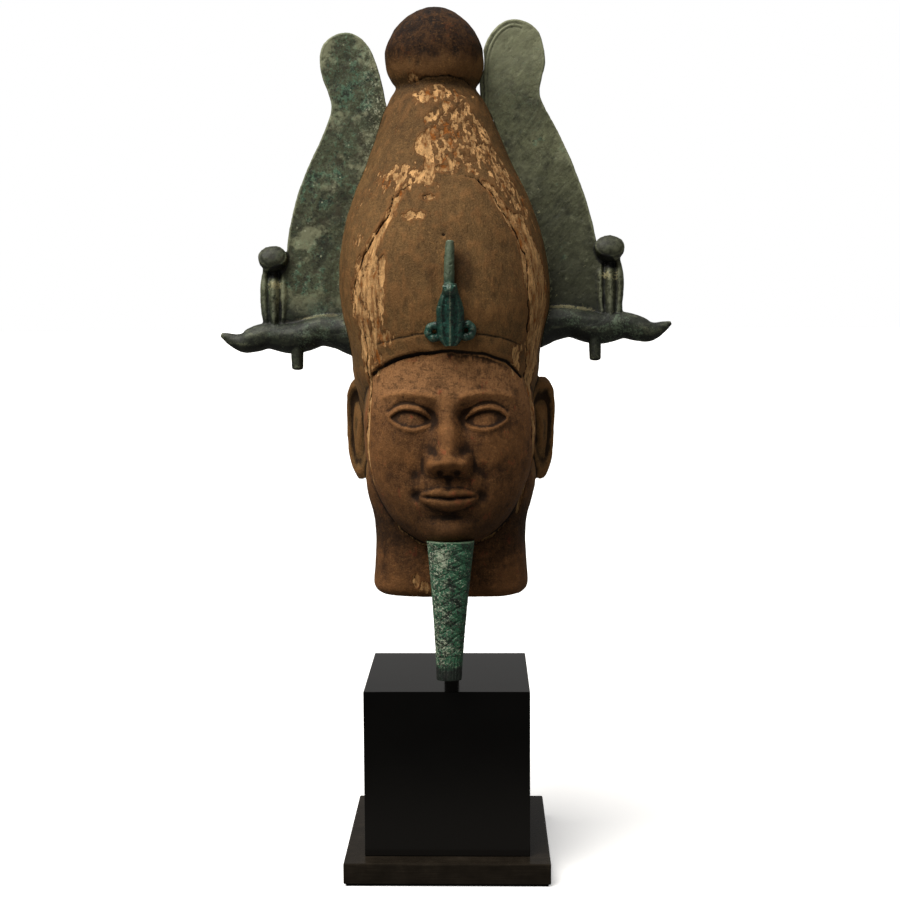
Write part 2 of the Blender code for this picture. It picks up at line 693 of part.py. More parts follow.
COBRA_UNIT = COBRA_HEIGHT / 85
COBRA_PLACE = (5.8, 1.0)
brow_hood_half_width = smooth_through(
    [(0, 5.0), (5, 9.0), (14, 10.6), (23, 11.2), (31, 10.8), (38, 8.6), (44, 6.4), (50, 5.2)]
)


def coil(centre):
    """A loop of the brow cobra's body, lying against the crown."""
    bpy.ops.mesh.primitive_torus_add(
        major_radius=5.2 * COBRA_UNIT,
        minor_radius=3.2 * COBRA_UNIT,
        major_segments=14,
        minor_segments=7,
        location=centre,
        rotation=(math.pi / 2, 0, 0),
    )
    loop = bpy.context.object
    for collection in list(loop.users_collection):
        collection.objects.unlink(loop)
    CUTTERS.objects.link(loop)
    loop.hide_render = True
    loop.display_type = "WIRE"
    return loop


def brow_cobra():
    """The cobra on the brow: a rearing hood between two loops of its body, and its tail up the crown."""
    across, rise = COBRA_PLACE
    _, back = crown_lean(rise)
    surface = back - crown_half_width(rise + 20) * crown_front_share(rise + 20)
    here = Matrix.Translation(crown_origin + Vector((across, float(surface), rise)) * UNIT)

    def at(x, y, z):
        return here @ (Vector((x, y, z)) * COBRA_UNIT)

    middle = smooth_through([(0, 1.5), (20, -1.5), (40, -4.5), (50, -3)])
    heights = np.linspace(0, 50, 8)
    hood = loft("hood", hood_rings(heights, brow_hood_half_width, 7, middle, COBRA_UNIT), CUTTERS)
    hood.matrix_world = here
    tail_path = [
        (-0.4, 1.5, 30), (-0.8, -0.5, 44), (-0.8, -1.2, 56), (-0.6, -0.6, 68), (-0.2, 0.6, 77), (0, 1.8, 84)
    ]
    widths = [radius * COBRA_UNIT for radius in (4.4, 4.4, 4.3, 4.1, 3.8, 3.2)]
    tail = tube("tail", [at(*point) for point in tail_path], widths)
    snout = ball("snout", Vector((5.4, 7.5, 6.0)) * COBRA_UNIT, Matrix.Translation(at(-0.4, -9.5, 45)))
    loops = [coil(at(side * 12.8, 1.5, 12 + 0.5 * side)) for side in (-1, 1)]
    crown_cut = loft("crown_cut", crown_rings(JOINT_GAP / UNIT), CUTTERS)
    return make_piece("brow_cobra", hood, [tail, snout, *loops], [crown_cut], BRIGHT_BRONZE, COBRA_TRIANGLES)


BEARD_ROWS, BEARD_COLUMNS = 32, 18


def beard_relief(across, below):
    """The plait's crossing strands and the tassel's straight ones, in metres, at a depth below the chin."""
    lean = 0.55 * np.abs(across) + np.where(across > 0, 0.5, 0.0)
    strand = np.abs(np.sin(math.pi * (below / PLAIT_PITCH + lean))) ** 0.7
    strand = strand - 0.35 * bump(across, 0, 0.16)
    straight = 0.4 * np.abs(np.sin(across * math.pi * 3.2))
    tassel_from = BEARD_LENGTH - TASSEL_LENGTH
    in_tassel = smooth_step(tassel_from - 0.002, tassel_from, below)
    carved = strand * (1 - in_tassel) + straight * in_tassel
    at_side = smooth_step(0.75, 1.0, np.abs(across))
    return PLAIT_RELIEF * (carved * (1 - at_side) + 0.9 * at_side)


def beard():
    """The plaited beard under the chin, which narrows to a tassel."""
    top = head_origin + Vector((1.2, -77, CHIN + 4)) * UNIT
    angles = even_angles(BEARD_COLUMNS)
    rings = []
    for k in range(BEARD_ROWS + 1):
        down = k / BEARD_ROWS
        taper = (1 - down) ** 1.35
        half_width = 0.5 * (BEARD_TIP_WIDTH + (BEARD_TOP_WIDTH - BEARD_TIP_WIDTH) * taper)
        half_depth = 0.5 * (BEARD_TIP_DEPTH + (BEARD_TOP_DEPTH - BEARD_TIP_DEPTH) * taper)
        x, y = oval(angles, half_width, half_depth, half_depth, 3.0)
        below = down * BEARD_LENGTH
        size = 1 + (beard_relief(x / half_width, below) - PLAIT_RELIEF) / half_width
        curve = Vector((-0.015 * below, -0.03 * BEARD_LENGTH * down**2, -below))
        rings.append(np.stack([x * size, y * size, np.zeros_like(x)], 1) + np.array(top + curve))
    core = loft("plait", rings[::-1], CUTTERS)
    chin_cut = loft("chin_cut", face_rings(high=60), CUTTERS)
    chin_cut.location.z = -JOINT_GAP
    return make_piece("beard", core, [], [chin_cut], BRIGHT_BRONZE, BEARD_TRIANGLES)


def stand():
    """The pad, plinth, block and square post, each resting on the one below."""
    size = (PLINTH_WIDTH - 2 * PAD_INSET, PLINTH_DEPTH - 2 * PAD_INSET, PAD_THICKNESS)
    box("felt_pad", size, (0, 0, PAD_THICKNESS / 2), 0, PARTS, FELT)
    plinth_low = PAD_THICKNESS + JOINT_GAP
    size = (PLINTH_WIDTH, PLINTH_DEPTH, PLINTH_THICKNESS)
    box("plinth", size, (0, 0, plinth_low + PLINTH_THICKNESS / 2), PLINTH_BEVEL, PARTS, DARK_PLATE)
    block_low = plinth_low + PLINTH_THICKNESS + JOINT_GAP
    size = (BLOCK_WIDTH, BLOCK_DEPTH, BLOCK_HEIGHT)
    box("block", size, (0, 0, block_low + BLOCK_HEIGHT / 2), BLOCK_BEVEL, PARTS, LACQUER)
    post_low = stand_top + JOINT_GAP
    post_high = neck_underside + POST_IN_NECK - JOINT_GAP
    size = (POST_SIDE, POST_SIDE, post_high - post_low)
    box("post", size, (POST_SHIFT, 0, (post_low + post_high) / 2), POST_BEVEL, PARTS, LACQUER)


head_and_crown()
plume_and_horn("plume_and_horn_left", -1)
plume_and_horn("plume_and_horn_right", 1)
brow_cobra()
beard()
stand()
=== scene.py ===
"""The looks of a carved wooden head in a tall crown, with cast bronze fittings, on a black stand.

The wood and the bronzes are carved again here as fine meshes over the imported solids, in the same frame.
The stand's own solids keep their shape and take new materials.
"""

import itertools
import math

import bmesh
import bpy
import numpy as np
from mathutils import Matrix, Vector


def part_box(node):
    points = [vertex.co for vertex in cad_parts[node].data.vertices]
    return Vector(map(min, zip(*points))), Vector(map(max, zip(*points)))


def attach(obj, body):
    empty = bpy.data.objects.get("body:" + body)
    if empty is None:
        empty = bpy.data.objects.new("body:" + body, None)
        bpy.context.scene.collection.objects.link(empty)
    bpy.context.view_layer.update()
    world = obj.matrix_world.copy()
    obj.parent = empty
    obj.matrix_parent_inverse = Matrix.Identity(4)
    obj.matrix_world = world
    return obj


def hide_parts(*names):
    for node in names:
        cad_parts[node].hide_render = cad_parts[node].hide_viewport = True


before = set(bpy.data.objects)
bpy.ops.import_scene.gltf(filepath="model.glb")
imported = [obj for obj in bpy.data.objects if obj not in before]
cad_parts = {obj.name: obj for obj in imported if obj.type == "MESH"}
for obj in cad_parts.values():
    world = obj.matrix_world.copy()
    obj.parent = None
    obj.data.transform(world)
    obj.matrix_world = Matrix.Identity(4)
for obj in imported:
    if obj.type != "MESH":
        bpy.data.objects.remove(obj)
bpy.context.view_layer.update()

bl_info = {
    "name": "Crowned Head",
    "version": (1, 0, 0),
    "blender": (4, 5, 0),
    "location": "View3D > Sidebar > Crowned Head",
    "description": "Builds a carved wooden head with cast bronze plumes, horns, cobras and a plaited beard",
    "category": "Object",
}

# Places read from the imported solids
NECK_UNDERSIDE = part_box("head_and_crown")[0].z
POST_MIDDLE = sum(corner.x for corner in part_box("post")) / 2
POST_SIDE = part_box("post")[1].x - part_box("post")[0].x

# The carving is laid out in millimetres above the neck's underside.
UNIT = 0.001
HEAD_ORIGIN = Vector((POST_MIDDLE, 0, NECK_UNDERSIDE))
CHIN, NAPE, CROWN_BASE, CROWN_TOP = 50, 84, 213.5, 502
CROWN_SHIFT, CROWN_LEAN_SIDE, CROWN_LEAN_BACK = -3.7, 0.041, 0.07
LEAN_FROM, LEAN_TO = 30, 250
CROWN_ORIGIN = HEAD_ORIGIN + Vector((CROWN_SHIFT, 0, CROWN_BASE)) * UNIT
CLEARANCE = 0.3
SOCKET_CLEARANCE = 0.0003
SOCKET_DEPTH = 0.0603

# About how many triangles the finished pieces keep
HEAD_TRIANGLES, CASTING_TRIANGLES, COBRA_TRIANGLES = 190000, 90000, 40000


def smooth_through(points):
    """A function that passes smoothly through (place, value) points and stays level beyond them."""
    at, value = (np.array(column, float) for column in zip(*points))
    slope = np.gradient(value, at)

    def curve(x):
        x = np.clip(np.asarray(x, float), at[0], at[-1])
        i = np.clip(np.searchsorted(at, x) - 1, 0, len(at) - 2)
        width = at[i + 1] - at[i]
        t = (x - at[i]) / width
        rise = 3 * t**2 - 2 * t**3
        bend = width * ((t**3 - 2 * t**2 + t) * slope[i] + (t**3 - t**2) * slope[i + 1])
        return value[i] * (1 - rise) + value[i + 1] * rise + bend

    return curve


def smooth_step(low, high, x):
    t = np.clip((np.asarray(x, float) - low) / (high - low), 0, 1)
    return t * t * (3 - 2 * t)


def bump(x, centre, spread):
    return np.exp(-(((x - centre) / spread) ** 2))


def spot(x, z, centre, spread):
    """A round or oval rise of 1 at a centre, dying away over a spread."""
    return bump(x, centre[0], spread[0]) * bump(z, centre[1], spread[1])


def pillow(share, power):
    """1 in the middle of a 0 to 1 span, and 0 at its ends and outside it."""
    return np.clip(4 * share * (1 - share), 0, 1) ** power


def soft_max(a, b, width):
    """The larger of two values, rounded over a width where they are nearly equal."""
    mix = np.clip(0.5 + 0.5 * (a - b) / width, 0, 1)
    return b * (1 - mix) + a * mix + width * mix * (1 - mix)


def oval(angles, half_width, front, back, power):
    """Points of an oval section, flatter-sided as its power rises. Angle 0 is +X, -90 degrees the front."""
    across, along = np.cos(angles), np.sin(angles)
    x = half_width * np.sign(across) * np.abs(across) ** (2 / power)
    reach = np.where(along < 0, front, back)
    y = reach * np.sign(along) * np.abs(along) ** (2 / power)
    return x, y


def even_angles(count):
    return np.arange(count) * 2 * math.pi / count


def level_ring(x, y, height):
    """A ring of points at one height, from millimetres."""
    return np.stack([x, y, np.full_like(x, height)], 1) * UNIT


def moved(x, y, z):
    """A move given in millimetres."""
    return Matrix.Translation(Vector((x, y, z)) * UNIT)


def carried(points, place):
    """Points carried along by a matrix."""
    whole = np.array(place)
    return points @ whole[:3, :3].T + whole[:3, 3]


def rounded(points, closed, steps):
    """The same line with points added on a smooth curve between the given ones."""
    given = [Vector(p) for p in points]
    count = len(given)
    made = []
    for i in range(count if closed else count - 1):
        if closed:
            a, b, c, d = (given[(i + k) % count] for k in (-1, 0, 1, 2))
        else:
            a, b, c, d = (given[min(max(i + k, 0), count - 1)] for k in (-1, 0, 1, 2))
        for k in range(steps):
            t = k / steps
            bend = (2 * a - 5 * b + 4 * c - d) * t**2 + (3 * b - a - 3 * c + d) * t**3
            made.append(0.5 * (2 * b + (c - a) * t + bend))
    if not closed:
        made.append(given[-1])
    return made


ASKEW = np.array(Matrix.Rotation(0.9, 3, Vector((1, 2, 3))))


def noise(points, size, seed=0):
    """Smooth noise, mostly between -1 and 1, at points, with features of a given size."""
    place = (points / np.asarray(size, float)) @ ASKEW + 31.7 * seed + 1000
    cell = np.floor(place).astype(np.int64)
    offset = place - cell
    t = offset**3 * (offset * (6 * offset - 15) + 10)
    total = np.zeros(len(points))
    for corner in itertools.product((0, 1), repeat=3):
        at = cell + np.array(corner)
        key = (at[:, 0] * 73856093) ^ (at[:, 1] * 19349663) ^ (at[:, 2] * 83492791)
        key = (key ^ (key >> 13)) * 1274126177 & 0xFFFFFFFF
        key = (key ^ (key >> 16)) * 2246822519 & 0xFFFFFFFF
        slope = np.stack([key & 1023, (key >> 10) & 1023, (key >> 20) & 1023], 1) / 511.5 - 1
        weight = np.prod(np.where(np.array(corner) == 1, t, 1 - t), axis=1)
        total += weight * (slope * (offset - np.array(corner))).sum(1)
    return total * 2.2


def fractal(points, size, octaves=3, seed=0):
    """Noise with finer noise added to it, each octave half the size and half the strength."""
    total = sum(noise(points, np.asarray(size, float) / 2**k, seed + k) / 2**k for k in range(octaves))
    return total / 1.2


def near_line(across, up, line):
    """Distance from points to a line of (across, up, half width) corners, and the half width there."""
    best = np.full(len(across), 1e9)
    width = np.zeros(len(across))
    for (x0, z0, w0), (x1, z1, w1) in zip(line, line[1:]):
        dx, dz = x1 - x0, z1 - z0
        t = np.clip(((across - x0) * dx + (up - z0) * dz) / (dx * dx + dz * dz), 0, 1)
        distance = np.hypot(across - x0 - t * dx, up - z0 - t * dz)
        closer = distance < best
        best = np.where(closer, distance, best)
        width = np.where(closer, w0 + t * (w1 - w0), width)
    return best, width


class Field:
    """A shader value that Python operators work on, so that masks are written as expressions."""

    def __init__(self, tree, socket):
        self.tree = tree
        self.socket = socket

    def math(self, operation, *others, clamp=False):
        node = self.tree.nodes.new("ShaderNodeMath")
        node.operation = operation
        node.use_clamp = clamp
        for target, value in zip(node.inputs, (self, *others)):
            if isinstance(value, Field):
                self.tree.links.new(value.socket, target)
            else:
                target.default_value = value
        return Field(self.tree, node.outputs[0])

    def constant(self, value):
        return value if isinstance(value, Field) else float(value)

    def __add__(self, other):
        return self.math("ADD", self.constant(other))

    __radd__ = __add__

    def __mul__(self, other):
        return self.math("MULTIPLY", self.constant(other))

    __rmul__ = __mul__

    def __sub__(self, other):
        return self.math("SUBTRACT", self.constant(other))

    def __rsub__(self, other):
        return (self * -1) + other

    def clipped(self):
        return self.math("ADD", 0.0, clamp=True)

    def largest(self, other):
        return self.math("MAXIMUM", self.constant(other))

    def edge(self, low, high):
        """0 below low, 1 above high and a smooth rise between. A larger low turns it over."""
        span = self.tree.nodes.new("ShaderNodeMapRange")
        span.interpolation_type = "SMOOTHSTEP"
        turned = low > high
        ends = (high, low, 1.0, 0.0) if turned else (low, high, 0.0, 1.0)
        for name, value in zip(("From Min", "From Max", "To Min", "To Max"), ends):
            span.inputs[name].default_value = value
        self.tree.links.new(self.socket, span.inputs["Value"])
        return Field(self.tree, span.outputs["Result"])

    def edge_over(self, base, low, high):
        """The same, with low and high given from a base."""
        return self.edge(base + low, base + high)

    def frayed(self, noise, share):
        """The value made uneven by a noise between 0 and 1."""
        return self + (noise - 0.5) * share


class Finish:
    """A Principled material in the making, with short ways to add the nodes that it needs."""

    def __init__(self, name):
        self.material = bpy.data.materials.new(name)
        self.material.use_nodes = True
        self.tree = self.material.node_tree
        self.shader = self.tree.nodes["Principled BSDF"]
        self.place = self.node("ShaderNodeTexCoord").outputs["Object"]
        self.color = None

    def node(self, kind, settings=None, inputs=None):
        """Any node, from its type, its settings and the values or links of its sockets."""
        made = self.tree.nodes.new(kind)
        for key, value in (settings or {}).items():
            if key == "stops":
                ramp = made.color_ramp
                while len(ramp.elements) < len(value):
                    ramp.elements.new(0.5)
                for element, (position, color) in zip(ramp.elements, value):
                    element.position = position
                    element.color = (*color, 1)
            else:
                setattr(made, key, value)
        for key, value in (inputs or {}).items():
            if isinstance(value, Field):
                value = value.socket
            if isinstance(value, bpy.types.NodeSocket):
                self.tree.links.new(value, made.inputs[key])
            else:
                made.inputs[key].default_value = value
        return made

    def stretched(self, scale):
        """The place on the object with its axes stretched, for grain and streaks."""
        return self.node("ShaderNodeMapping", {}, {"Vector": self.place, "Scale": scale}).outputs["Vector"]

    def turned(self, rotation, scale):
        """The place on the object turned and then drawn out along the turned axes, for slanting strokes."""
        inputs = {"Vector": self.place, "Rotation": rotation, "Scale": scale}
        return self.node("ShaderNodeMapping", {"vector_type": "TEXTURE"}, inputs).outputs["Vector"]

    def noise(self, size, detail=3.0, rough=0.55, place=None, twist=0.0):
        """Noise between 0 and 1 with features of a size in metres."""
        inputs = {"Vector": place or self.place, "Scale": 1 / size, "Detail": detail, "Roughness": rough}
        inputs["Distortion"] = twist
        return Field(self.tree, self.node("ShaderNodeTexNoise", {}, inputs).outputs["Fac"])

    def cells(self, size, place=None):
        """Distance to scattered points, in cells, with a cell's size in metres."""
        inputs = {"Vector": place or self.place, "Scale": 1 / size}
        return Field(self.tree, self.node("ShaderNodeTexVoronoi", {}, inputs).outputs["Distance"])

    def stored(self, name):
        """A value that the mesh carries at each point."""
        return Field(self.tree, self.node("ShaderNodeAttribute", {"attribute_name": name}).outputs["Fac"])

    def axis(self, name):
        """One of the place's coordinates, in metres."""
        split = self.node("ShaderNodeSeparateXYZ", {}, {"Vector": self.place})
        return Field(self.tree, split.outputs[name])

    def mix(self, share, first, second, blend="MIX"):
        """A colour between two colours, by a share."""
        node = self.node("ShaderNodeMix", {"data_type": "RGBA", "blend_type": blend})
        for socket, value in ((node.inputs[0], share), (node.inputs[6], first), (node.inputs[7], second)):
            value = value.socket if isinstance(value, Field) else value
            if isinstance(value, bpy.types.NodeSocket):
                self.tree.links.new(value, socket)
            else:
                socket.default_value = (*value, 1) if isinstance(value, tuple) else value
        return node.outputs[2]

    def over(self, share, color, blend="MIX"):
        """Lays a colour over the material's colour so far, by a share."""
        self.color = self.mix(share, self.color, color, blend)

    def ramp(self, share, *stops):
        """A colour read from a ramp of (position, colour) stops."""
        return self.node("ShaderNodeValToRGB", {"stops": stops}, {"Fac": share}).outputs["Color"]

    def constants(self, **values):
        """Values that are the same all over the surface."""
        for name, value in values.items():
            self.shader.inputs[name.replace("_", " ")].default_value = value

    def vary(self, name, value):
        """A value or colour that changes over the surface."""
        socket = value.socket if isinstance(value, Field) else value
        self.tree.links.new(socket, self.shader.inputs[name])

    def relief(self, height, depth, strength=1.0):
        """Fine relief from a height between 0 and 1, with its depth in metres."""
        inputs = {"Height": height, "Distance": depth, "Strength": strength}
        self.vary("Normal", self.node("ShaderNodeBump", {}, inputs).outputs["Normal"])


def srgb(red, green, blue):
    """A colour given the way a picture shows it, 0 to 255, as light values."""
    shown = (red, green, blue)
    return tuple(((v / 255 + 0.055) / 1.055) ** 2.4 if v > 10 else v / 255 / 12.92 for v in shown)


def new_object(name, data):
    obj = bpy.data.objects.new(name, data)
    bpy.context.scene.collection.objects.link(obj)
    return obj


def evaluated_mesh(obj):
    """A mesh of an object as its modifiers leave it."""
    bpy.context.view_layer.update()
    graph = bpy.context.evaluated_depsgraph_get()
    return bpy.data.meshes.new_from_object(obj.evaluated_get(graph))


def from_bmesh(name, bm):
    bmesh.ops.recalc_face_normals(bm, faces=bm.faces)
    mesh = bpy.data.meshes.new(name)
    bm.to_mesh(mesh)
    bm.free()
    return new_object(name, mesh)


def loft(name, rings):
    """A closed form through rings of equal point count, with a cap across each end."""
    rings = np.array(rings)
    rows, count = rings.shape[:2]
    low = (np.arange(rows - 1)[:, None] * count + np.arange(count)[None, :]).ravel()
    nxt = (np.arange(rows - 1)[:, None] * count + (np.arange(count)[None, :] + 1) % count).ravel()
    quads = np.stack([low, nxt, nxt + count, low + count], 1)
    mesh = bpy.data.meshes.new(name)
    ends = [list(range(count))[::-1], list(range((rows - 1) * count, rows * count))]
    mesh.from_pydata(rings.reshape(-1, 3), [], quads.tolist() + ends)
    bm = bmesh.new()
    bm.from_mesh(mesh)
    bmesh.ops.recalc_face_normals(bm, faces=bm.faces)
    bm.to_mesh(mesh)
    bm.free()
    return new_object(name, mesh)


def ball(name, radii, place):
    """A ball or egg with radii in millimetres."""
    bm = bmesh.new()
    bmesh.ops.create_uvsphere(bm, u_segments=32, v_segments=20, radius=1)
    bmesh.ops.scale(bm, vec=Vector(radii) * UNIT, verts=bm.verts)
    bm.transform(place)
    return from_bmesh(name, bm)


def round_bar(name, radii, length, place):
    """A round plate or tapered peg along its own Z, with its radii and length in millimetres."""
    low, high = (radius * UNIT for radius in radii)
    bm = bmesh.new()
    bmesh.ops.create_cone(bm, cap_ends=True, segments=48, radius1=low, radius2=high, depth=length * UNIT)
    bm.transform(place)
    return from_bmesh(name, bm)


def tube(name, points, radii, sides=24):
    """A round bar through points, with a radius at each."""
    points = np.array(points, float)
    ahead = np.gradient(points, axis=0)
    ahead /= np.linalg.norm(ahead, axis=1)[:, None]
    side = np.cross(ahead, (0, 1, 0.01))
    side /= np.linalg.norm(side, axis=1)[:, None]
    other = np.cross(ahead, side)
    turn = even_angles(sides)[None, :, None]
    rings = points[:, None] + np.array(radii)[:, None, None] * (
        side[:, None] * np.cos(turn) + other[:, None] * np.sin(turn)
    )
    return loft(name, rings)


def plate(name, outline, thickness, place):
    """A flat plate cut to an outline in X and Z."""
    data = bpy.data.curves.new(name, "CURVE")
    data.dimensions = "2D"
    data.fill_mode = "BOTH"
    data.extrude = thickness / 2
    spline = data.splines.new("POLY")
    spline.points.add(len(outline) - 1)
    for point, (x, z) in zip(spline.points, outline):
        point.co = (x, z, 0, 1)
    spline.use_cyclic_u = True
    curve = new_object(name, data)
    mesh = evaluated_mesh(curve)
    bpy.data.objects.remove(curve)
    bm = bmesh.new()
    bm.from_mesh(mesh)
    bmesh.ops.remove_doubles(bm, verts=bm.verts, dist=1e-6)
    bm.transform(place @ Matrix.Rotation(math.pi / 2, 4, "X"))
    bm.normal_update()
    return from_bmesh(name, bm)


def settle(obj):
    """Applies an object's modifiers."""
    mesh = evaluated_mesh(obj)
    obj.modifiers.clear()
    obj.data = mesh
    return obj


def fused(name, forms, voxel, soften=0):
    """One skin over several overlapping forms, and softened where they meet."""
    bm = bmesh.new()
    for form in forms:
        bm.from_mesh(form.data)
        bpy.data.objects.remove(form)
    piece = from_bmesh(name, bm)
    skin = piece.modifiers.new("skin", "REMESH")
    skin.mode = "VOXEL"
    skin.voxel_size = voxel
    if soften:
        smooth = piece.modifiers.new("soften", "SMOOTH")
        smooth.iterations = soften
        smooth.factor = 0.5
    return settle(piece)


def cut_back(piece, *cutters):
    """Takes other forms away from a piece."""
    for cutter in cutters:
        cut = piece.modifiers.new("cut", "BOOLEAN")
        cut.operation = "DIFFERENCE"
        cut.object = cutter
    settle(piece)
    for cutter in cutters:
        bpy.data.objects.remove(cutter)
    return piece


def thinned(piece, triangles):
    """Brings a fine mesh down to about a number of triangles, keeping them where the form bends."""
    thin = piece.modifiers.new("thin", "DECIMATE")
    thin.ratio = min(1.0, triangles / sum(len(face.vertices) - 2 for face in piece.data.polygons))
    return settle(piece)


def points_of(piece):
    made = np.empty(len(piece.data.vertices) * 3)
    piece.data.vertices.foreach_get("co", made)
    return made.reshape(-1, 3)


def normals_of(piece):
    made = np.empty(len(piece.data.vertices) * 3)
    piece.data.vertices.foreach_get("normal", made)
    return made.reshape(-1, 3)


def set_points(piece, points):
    piece.data.vertices.foreach_set("co", np.ascontiguousarray(points, np.float32).ravel())
    piece.data.update()


def store(piece, name, values):
    """Keeps a value at each point of a piece for its material."""
    made = piece.data.attributes.new(name, "FLOAT", "POINT")
    made.data.foreach_set("value", np.ascontiguousarray(values, np.float32))


def hollows(piece, rounds):
    """How far each point lies in a hollow, in millimetres: below 0 on ridges and above 0 in creases."""
    points = points_of(piece)
    normals = normals_of(piece)
    ends = np.empty(len(piece.data.edges) * 2, np.int32)
    piece.data.edges.foreach_get("vertices", ends)
    a, b = ends.reshape(-1, 2).T
    count = np.bincount(np.concatenate([a, b]), minlength=len(points))[:, None]
    level = points.copy()
    for _ in range(rounds):
        total = np.zeros_like(level)
        for k in range(3):
            total[:, k] = np.bincount(a, level[b, k], len(points)) + np.bincount(b, level[a, k], len(points))
        level = 0.5 * level + 0.5 * total / np.maximum(count, 1)
    return ((level - points) * normals).sum(1) * 1000


def dress(piece, node, material):
    """Gives a finished piece its material and its body, and hides the solid that it stands for."""
    piece.data.materials.clear()
    piece.data.materials.append(material)
    piece.data.shade_smooth()
    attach(piece, "root")
    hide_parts(node)


# The crown's half width at heights above its base, without the bulb on top
crown_body = smooth_through(
    [(-131, 63), (-100, 67), (-60, 72), (-35, 77.5), (-23, 80), (-6, 81.5), (10, 84.5), (25, 88), (42, 90),
     (68, 89.4), (100, 83.6), (126, 75), (152, 63.5), (180, 52.5), (200, 45), (216, 36), (240, 18)]
)
BULB_HEIGHT, BULB_HALF_WIDTH, BULB_REACH = 249, 42.5, 39.5
BULB_POWER_ABOVE, BULB_POWER_BELOW = 1.5, 3.0
crown_front_share = smooth_through(
    [(-131, 0.55), (-75, 0.72), (-35, 0.98), (-12, 1.05), (0, 1.055), (40, 1.03), (200, 1.0)]
)
crown_back_share = smooth_through([(-131, 0.92), (-60, 1.1), (0, 1.09), (60, 1.05), (200, 1.0)])
# The crown's lower edge, which rises over the brow and falls behind the ears, by degrees from the front
crown_edge = smooth_through(
    [(0, -3.3), (13, -5.1), (29, -10.6), (43, -19.6), (51, -26.6), (57, -45), (64, -80),
     (72, NAPE + 17 - CROWN_BASE), (90, NAPE + 3 - CROWN_BASE), (180, NAPE - CROWN_BASE)]
)


def crown_half_width(up):
    from_middle = np.clip((up - BULB_HEIGHT) / BULB_REACH, -1, 1)
    power = np.where(from_middle > 0, BULB_POWER_ABOVE, BULB_POWER_BELOW)
    bulb = BULB_HALF_WIDTH * np.sqrt(1 - np.abs(from_middle) ** power)
    body = np.where(up > BULB_HEIGHT, 0, crown_body(up))
    return soft_max(body, bulb, 5.0)


def crown_lean(up):
    leaning = np.clip(up, LEAN_FROM, LEAN_TO) - LEAN_FROM
    return -CROWN_LEAN_SIDE * leaning, CROWN_LEAN_BACK * np.clip(up, 0, LEAN_TO)


def degrees_from_front(angles):
    return np.degrees(np.abs((angles + math.pi / 2 + math.pi) % (2 * math.pi) - math.pi))


def crown_rings(grow, columns=220, low_rows=60, high_rows=150):
    angles = even_angles(columns)
    edge = crown_edge(degrees_from_front(angles)) - grow
    level_from = 60
    top = CROWN_TOP - CROWN_BASE + grow
    levels = [edge + (level_from - edge) * k / low_rows for k in range(low_rows)]
    for k in range(high_rows + 1):
        share = math.sin(math.pi / 2 * k / (high_rows + 0.4)) ** 0.92
        levels.append(np.full(columns, level_from + (top - 0.4 - level_from) * share))
    rings = []
    for number, up in enumerate([levels[0], *levels]):
        width = crown_half_width(np.minimum(up, BULB_HEIGHT + BULB_REACH - 0.4)) + grow
        x, y = oval(angles, width, width * crown_front_share(up), width * crown_back_share(up), 2.15)
        inset = 0.8 if number == 0 else 1.0
        side, back = crown_lean(up)
        rings.append(np.stack([x * inset + side, y * inset + back, up], 1) * UNIT + np.array(CROWN_ORIGIN))
    return rings


def crown_cutter():
    """The crown, larger by the clearance, to cut back what lies against it."""
    return loft("crown_cut", crown_rings(CLEARANCE, 120, 40, 80))


# The face is laid out in millimetres above the chin and to each side of its middle.
EYE_HEIGHT, EYE_ACROSS, EYE_HALF_WIDTH = 104, 31, 17
MOUTH_HEIGHT, MOUTH_HALF_WIDTH = 41, 25
NOSE_BASE, NOSE_BRIDGE = 62, 116


def nose_relief(side, h):
    """The straight ridge of the nose with its rounded tip, its wings and the hollows of the nostrils."""
    up = (h - NOSE_BASE) / (NOSE_BRIDGE - NOSE_BASE)
    length = smooth_step(-0.1, 0.19, up) * (1 - smooth_step(0.55, 1.3, up))
    rise = 18.5 - 8.5 * np.clip(up, 0, 1.2) + 1.5 * bump(up, 0.14, 0.12)
    half = 9.4 + 2.0 * bump(up, 0.12, 0.25) + 1.5 * smooth_step(0.6, 1.1, up)
    ridge = rise * length * (0.75 * np.exp(-((side / half) ** 2.8)) + 0.25 * bump(side, 0, 2.1 * half))
    wings = 8.5 * spot(side, h, (13.0, NOSE_BASE + 6.5), (5.4, 6.6))
    creases = -1.8 * spot(side, h, (20.5, NOSE_BASE + 7), (3.2, 7))
    nostrils = -4.0 * spot(side, h, (7.0, NOSE_BASE + 0.5), (3.0, 2.2))
    return ridge + wings + creases + nostrils


def eye_relief(side, h):
    """The hollow of the eye, the eyeball between two raised lids, and the fold over it."""
    across = (side - EYE_ACROSS) / EYE_HALF_WIDTH
    hollow = -8.0 * spot(side, h, (EYE_ACROSS - 5, EYE_HEIGHT + 2), (21, 11.5))
    inner_corner = -5.5 * spot(side, h, (13.5, EYE_HEIGHT + 2), (6.5, 9))
    eyeball = 8.5 * spot(across, h, (0, EYE_HEIGHT), (1.05, 11.5))
    opening = np.clip(1 - across**2, 0, 1)
    slant = 1.2 * across
    upper = EYE_HEIGHT + slant + 8.2 * opening**0.8
    lower = EYE_HEIGHT + slant - 6.2 * opening**0.9
    open_here = smooth_step(-0.8, 1.2, upper - h) * smooth_step(-0.8, 1.2, h - lower)
    open_here = open_here * smooth_step(0.0, 0.12, opening)
    reach = smooth_step(12, 16, side) * (1 - smooth_step(47.5, 52.5, side))
    lids = 2.1 * bump(h, upper + 1.9, 2.0) + 1.5 * bump(h, lower - 1.5, 1.8)
    fold = -1.6 * bump(h, upper + 6.2, 2.2)
    return hollow + inner_corner + eyeball - 1.8 * open_here + (lids + fold) * reach * (1 - open_here)


